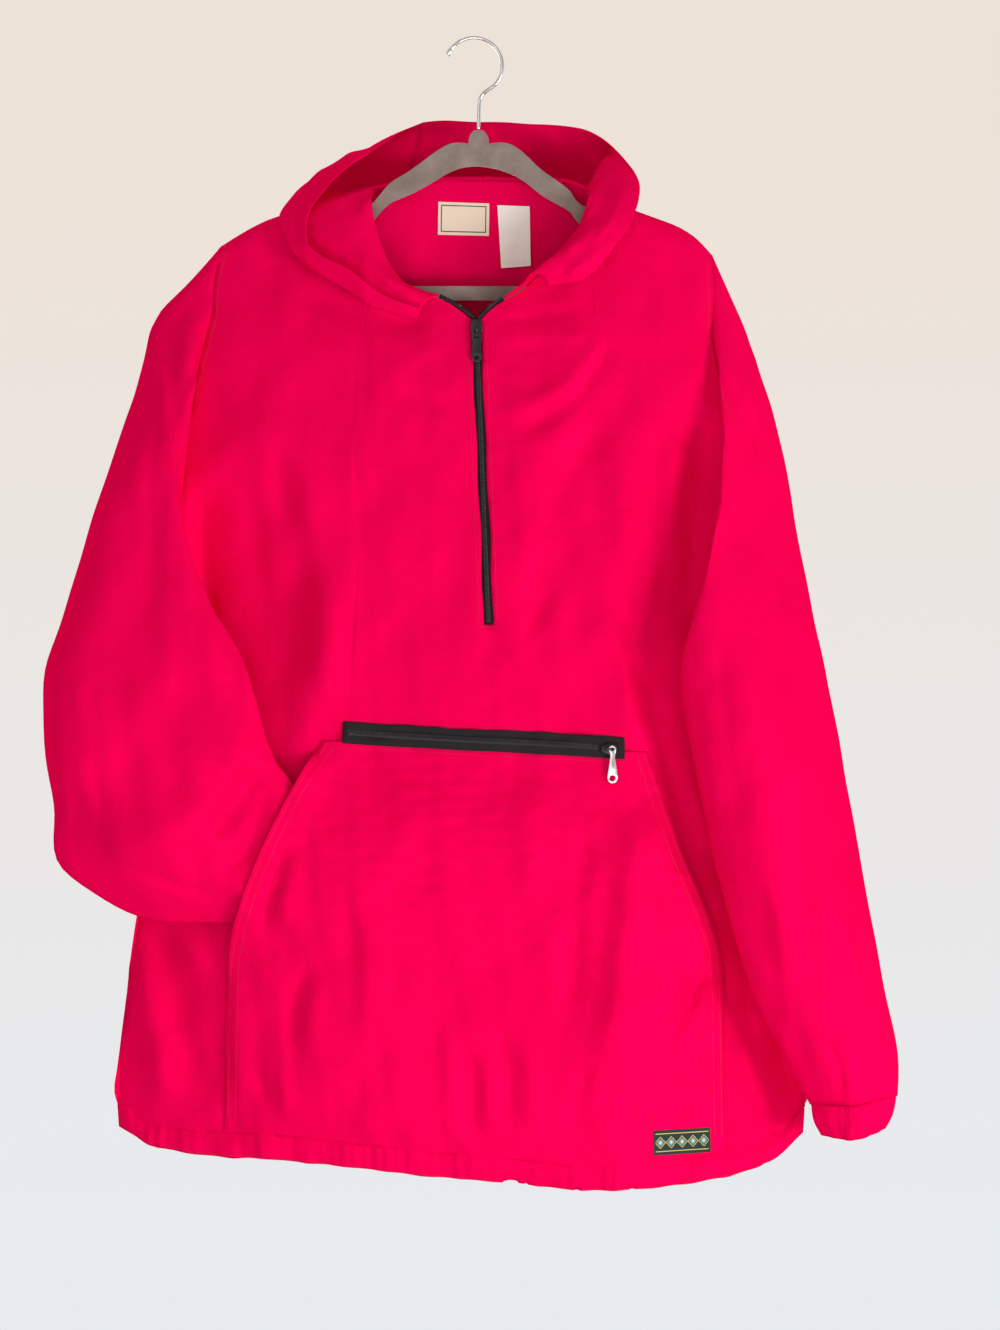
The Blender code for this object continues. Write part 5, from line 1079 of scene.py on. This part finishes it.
def label(name, node, corners, surface, lift, cols, rows, mats, pick, curl=0.0):
    """A woven label as a fine closed sheet over what carries it; pick gives a cell's thread."""
    tl, tr, br, bl = (np.array(c, float) for c in corners)
    top = np.zeros((rows + 1, cols + 1, 3))
    for i in range(rows + 1):
        v = i / rows
        for j in range(cols + 1):
            u = j / cols
            x, z = (tl * (1 - u) + tr * u) * (1 - v) + (bl * (1 - u) + br * u) * v
            spot, _ = surface.at(x, z)
            y = spot[1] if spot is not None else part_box(node)[0][1] / MM
            ruffle = LABEL_RUFFLE * math.sin(3.1 * u + 2.0 * v) * math.sin(math.pi * u)
            top[i, j] = (x, y - lift - curl * (v ** 2.2) * (0.4 + 0.6 * u) - ruffle, z)
    for _ in range(LABEL_SMOOTHING):
        inner = (top[:-2, 1:-1] + top[2:, 1:-1] + top[1:-1, :-2] + top[1:-1, 2:]) / 4
        top[1:-1, 1:-1, 1] = np.minimum(top[1:-1, 1:-1, 1], inner[..., 1])
    low = top + (0.0, LABEL_WALL, 0.0)
    verts = np.concatenate([top.reshape(-1, 3), low.reshape(-1, 3)])
    half = (rows + 1) * (cols + 1)
    faces, picks = [], []

    def at(i, j):
        return i * (cols + 1) + j
    for i in range(rows):
        for j in range(cols):
            quad = (at(i, j), at(i, j + 1), at(i + 1, j + 1), at(i + 1, j))
            faces += [quad, tuple(half + k for k in reversed(quad))]
            kind = pick((j + 0.5) / cols, (i + 0.5) / rows)
            picks += [kind, 0]
    edge = ([at(0, j) for j in range(cols)] + [at(i, cols) for i in range(rows)]
            + [at(rows, j) for j in range(cols, 0, -1)] + [at(i, 0) for i in range(rows, 0, -1)])
    for a, b in zip(edge, edge[1:] + edge[:1]):
        faces.append((a, b, half + b, half + a))
        picks.append(0)
    uv = np.concatenate([top[..., (0, 2)].reshape(-1, 2)] * 2) * MM
    obj = mesh_object(name, verts, faces, mats, uv, picks)
    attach(obj, "garment")
    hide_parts(node)


NECK_SIZE = (46, 29)
NECK_BORDER = (2.4, 3.3)  # how far in from the edge the thin border lies
PATCH_SIZE = (50, 22)
PATCH_FIELD = ((1.6, 48.4), (1.6, 20.4))  # across, down
PATCH_BANDS = ((2.6, 3.6), (18.4, 19.4))
DIAMOND_ROW = (5.0, 17.0)
DIAMOND_START, DIAMOND_PITCH, DIAMOND_SLANT = 1.0, 9.6, 0.86
DIAMOND_CORE, DIAMOND_BODY, DIAMOND_LINE = 1.5, 3.1, (4.0, 4.8)


def neck_pick(u, v):
    """Plain cream ground with a thin dark border set in from the edge."""
    du, dv = min(u, 1 - u) * NECK_SIZE[0], min(v, 1 - v) * NECK_SIZE[1]
    return 1 if NECK_BORDER[0] < min(du, dv) < NECK_BORDER[1] else 0


def patch_pick(u, v):
    """Generic motif: a row of nested diamonds between two bands, on a green ground."""
    wide, high = PATCH_SIZE
    x, z = u * wide, v * high
    if not all(low < at < top for at, (low, top) in zip((x, z), PATCH_FIELD)):
        return 0
    if any(low < z < top for low, top in PATCH_BANDS):
        return 1
    if z < DIAMOND_ROW[0] or z > DIAMOND_ROW[1]:
        return 0
    cell = (x - DIAMOND_START) % DIAMOND_PITCH
    reach = abs(cell - DIAMOND_PITCH / 2) + abs(z - high / 2) * DIAMOND_SLANT
    if reach < DIAMOND_CORE:
        return 3
    if reach < DIAMOND_BODY:
        return 2
    return 1 if DIAMOND_LINE[0] < reach < DIAMOND_LINE[1] else 0


label("neck_label_woven", "neck_label",
      ((-31.5, -142.5), (13.5, -144.0), (13.0, -172.5), (-32.0, -171.5)),
      INSIDE_BACK, 0.9, 92, 58, [LABEL, LABEL_EDGE], neck_pick)
label("care_tag_satin", "care_tag",
      ((20.5, -145.5), (49.0, -146.5), (50.0, -199.0), (24.0, -201.0)),
      INSIDE_BACK, 0.9, 30, 56, [CARE], lambda u, v: 0, curl=3.0)
label("hem_patch_woven", "hem_patch",
      ((157.5, -959.5), (207.5, -957.5), (208.0, -979.0), (158.0, -981.5)),
      BODY, 0.8, 125, 55, [PATCH, PATCH_GOLD, PATCH_TEAL, PATCH_PALE], patch_pick)


# ---- rigid parts
# Their CAD form, rounded, in real finishes.
def painted(obj, mat):
    """Give a whole piece one finish."""
    obj.data.materials.clear()
    obj.data.materials.append(mat)
    obj.data.polygons.foreach_set("use_smooth", [True] * len(obj.data.polygons))


def rounded(obj, width, segments, angle):
    """Round the edges sharper than angle, in degrees."""
    mod = obj.modifiers.new("rounded", "BEVEL")
    mod.width = width * MM
    mod.segments = segments
    mod.limit_method = "ANGLE"
    mod.angle_limit = math.radians(angle)
    mod.harden_normals = True


def finish_node(node, mat, bevel=0.0, levels=0):
    """A rigid CAD node shown as it is, in its finish, with its edges rounded or smoothed."""
    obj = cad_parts[node]
    painted(obj, mat)
    obj.modifiers.new("joined", "WELD").merge_threshold = WELD
    if bevel:
        rounded(obj, bevel, 2, 40)
    if levels:
        subdivided(obj, "smooth", levels)


hanger = refined("hanger_velvet", "hanger_body", 2, seams=False)
painted(hanger, VELVET)
rounded(hanger, 1.3, 3, 50)
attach(hanger, "garment")
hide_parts("hanger_body")
finish_node("hanger_hook", CHROME, levels=2)
finish_node("front_zip_slider", DARK_METAL, 0.35)
finish_node("front_zip_pull", DARK_METAL, 0.3)
finish_node("pocket_zip_slider", DARK_METAL, 0.35)
finish_node("pocket_zip_pull", SILVER, 0.3)


# ---- floor, light and camera
FLOOR_Z = -2.0  # a rail or peg stands about two metres up
CAMERA_BACK = 9.0
SENSOR = 36.0
PHOTO_PLANE = 0.012  # the photo's scale holds this far in front of the hanger
FLOOR_FADE = (1.4, 3.2)  # the floor thins out between these radii
# The surroundings: colours below and above, and where from the bottom up one turns into the other.
WALL_TONES = ((0.80, 0.83, 0.87), (0.85, 0.76, 0.68), 0.44, 0.55)
WORLD_DIM = 0.60  # brightness on the viewer's side, beside 1 behind the garment
WORLD_TURN = (-0.7, 0.5)  # and the depths that it changes between
# Name, place, size, power, colour, and the height that it points at, over the origin.
LIGHTS = (
    ("key", (2.1, -1.8, -1.15), (0.9, 0.9), 41.0, (1.0, 0.99, 0.975), -0.75),
    ("low", (0.2, -1.7, -1.25), (1.2, 0.5), 7.0, (1.0, 0.985, 0.97), -0.85),
    ("fill", (-1.6, -4.0, -0.6), (2.6, 2.6), 17.0, (0.97, 0.985, 1.0), -0.55),
    ("top", (0.0, 0.6, 2.6), (2.4, 1.6), 7.0, (1.0, 0.99, 0.97), -0.55),
    ("back", (-1.6, 3.6, -0.9), (2.0, 2.0), 34.0, (1.0, 0.99, 0.98), -0.55),
)


def build_floor():
    """A pale floor that thins out into the surroundings, so it has no horizon."""
    n = Nodes("pale_floor")
    n.colour(n.noise(1.5, 3.0), (0.66, 0.68, 0.72), (0.72, 0.74, 0.78), 0.3, 0.7)
    n.roughness(n.noise(30.0), 0.55, 0.7)
    n.set(Specular_IOR_Level=0.2)
    coords = n.add("ShaderNodeTexCoord")
    reach = n.add("ShaderNodeVectorMath", operation="LENGTH")
    n.link(coords.outputs["Object"], reach.inputs[0])
    fade = n.value(reach.outputs["Value"], 1.0, 0.0, *FLOOR_FADE, "SMOOTHSTEP")
    n.link(fade, n.shader.inputs["Alpha"])
    bm = bmesh.new()
    bmesh.ops.create_circle(bm, cap_ends=True, segments=96, radius=FLOOR_FADE[1])
    mesh = bpy.data.meshes.new("floor")
    bm.to_mesh(mesh)
    bm.free()
    mesh.materials.append(n.mat)
    floor = add_object("floor", mesh)
    floor.location = (0.0, 0.0, FLOOR_Z)


def area_light(name, where, size, power, colour, aim):
    data = bpy.data.lights.new(name, "AREA")
    data.shape = "RECTANGLE"
    data.size, data.size_y = size
    data.energy = power
    data.color = colour
    light = add_object(name, data)
    light.location = where
    way = Vector((0.0, 0.0, aim)) - Vector(where)
    light.rotation_euler = way.to_track_quat("-Z", "Y").to_euler()
    light.visible_camera = False


def build_world():
    """Pale surroundings: cream above, cooler below, dimmer on the viewer's side."""
    n = Nodes("pale_studio", "worlds", "Background")
    bpy.context.scene.world = n.mat
    coords = n.add("ShaderNodeTexCoord")
    parts = n.add("ShaderNodeSeparateXYZ")
    n.link(coords.outputs["Generated"], parts.inputs["Vector"])
    height = n.add("ShaderNodeMath", operation="ADD")
    height.inputs[1].default_value = 0.5
    n.link(parts.outputs["Z"], height.inputs[0])
    n.link(n.between(height.outputs[0], *WALL_TONES), n.shader.inputs["Color"])
    dim = n.value(parts.outputs["Y"], WORLD_DIM, 1.0, *WORLD_TURN, "SMOOTHSTEP")
    n.link(dim, n.shader.inputs["Strength"])


build_floor()
build_world()
for light in LIGHTS:
    area_light(*light)

# The camera's eye stands opposite the middle of the photograph.
eye_x = (PHOTO[0] / 2 - HOOK_PIXEL[0]) * MM_PER_PIXEL * MM
eye_z = (HOOK_PIXEL[1] - PHOTO[1] / 2) * MM_PER_PIXEL * MM
camera_data = bpy.data.cameras.new("camera")
camera_data.sensor_fit = "VERTICAL"
camera_data.sensor_height = SENSOR
frame_height = PHOTO[1] * MM_PER_PIXEL * MM
camera_data.lens = SENSOR * (CAMERA_BACK - PHOTO_PLANE) / frame_height
camera_data.clip_end = 100.0
camera = add_object("camera", camera_data)
camera.location = (eye_x, -CAMERA_BACK, eye_z)
camera.rotation_euler = (math.radians(90.0), 0.0, 0.0)
bpy.context.scene.camera = camera
bpy.context.scene.view_settings.view_transform = "Standard"
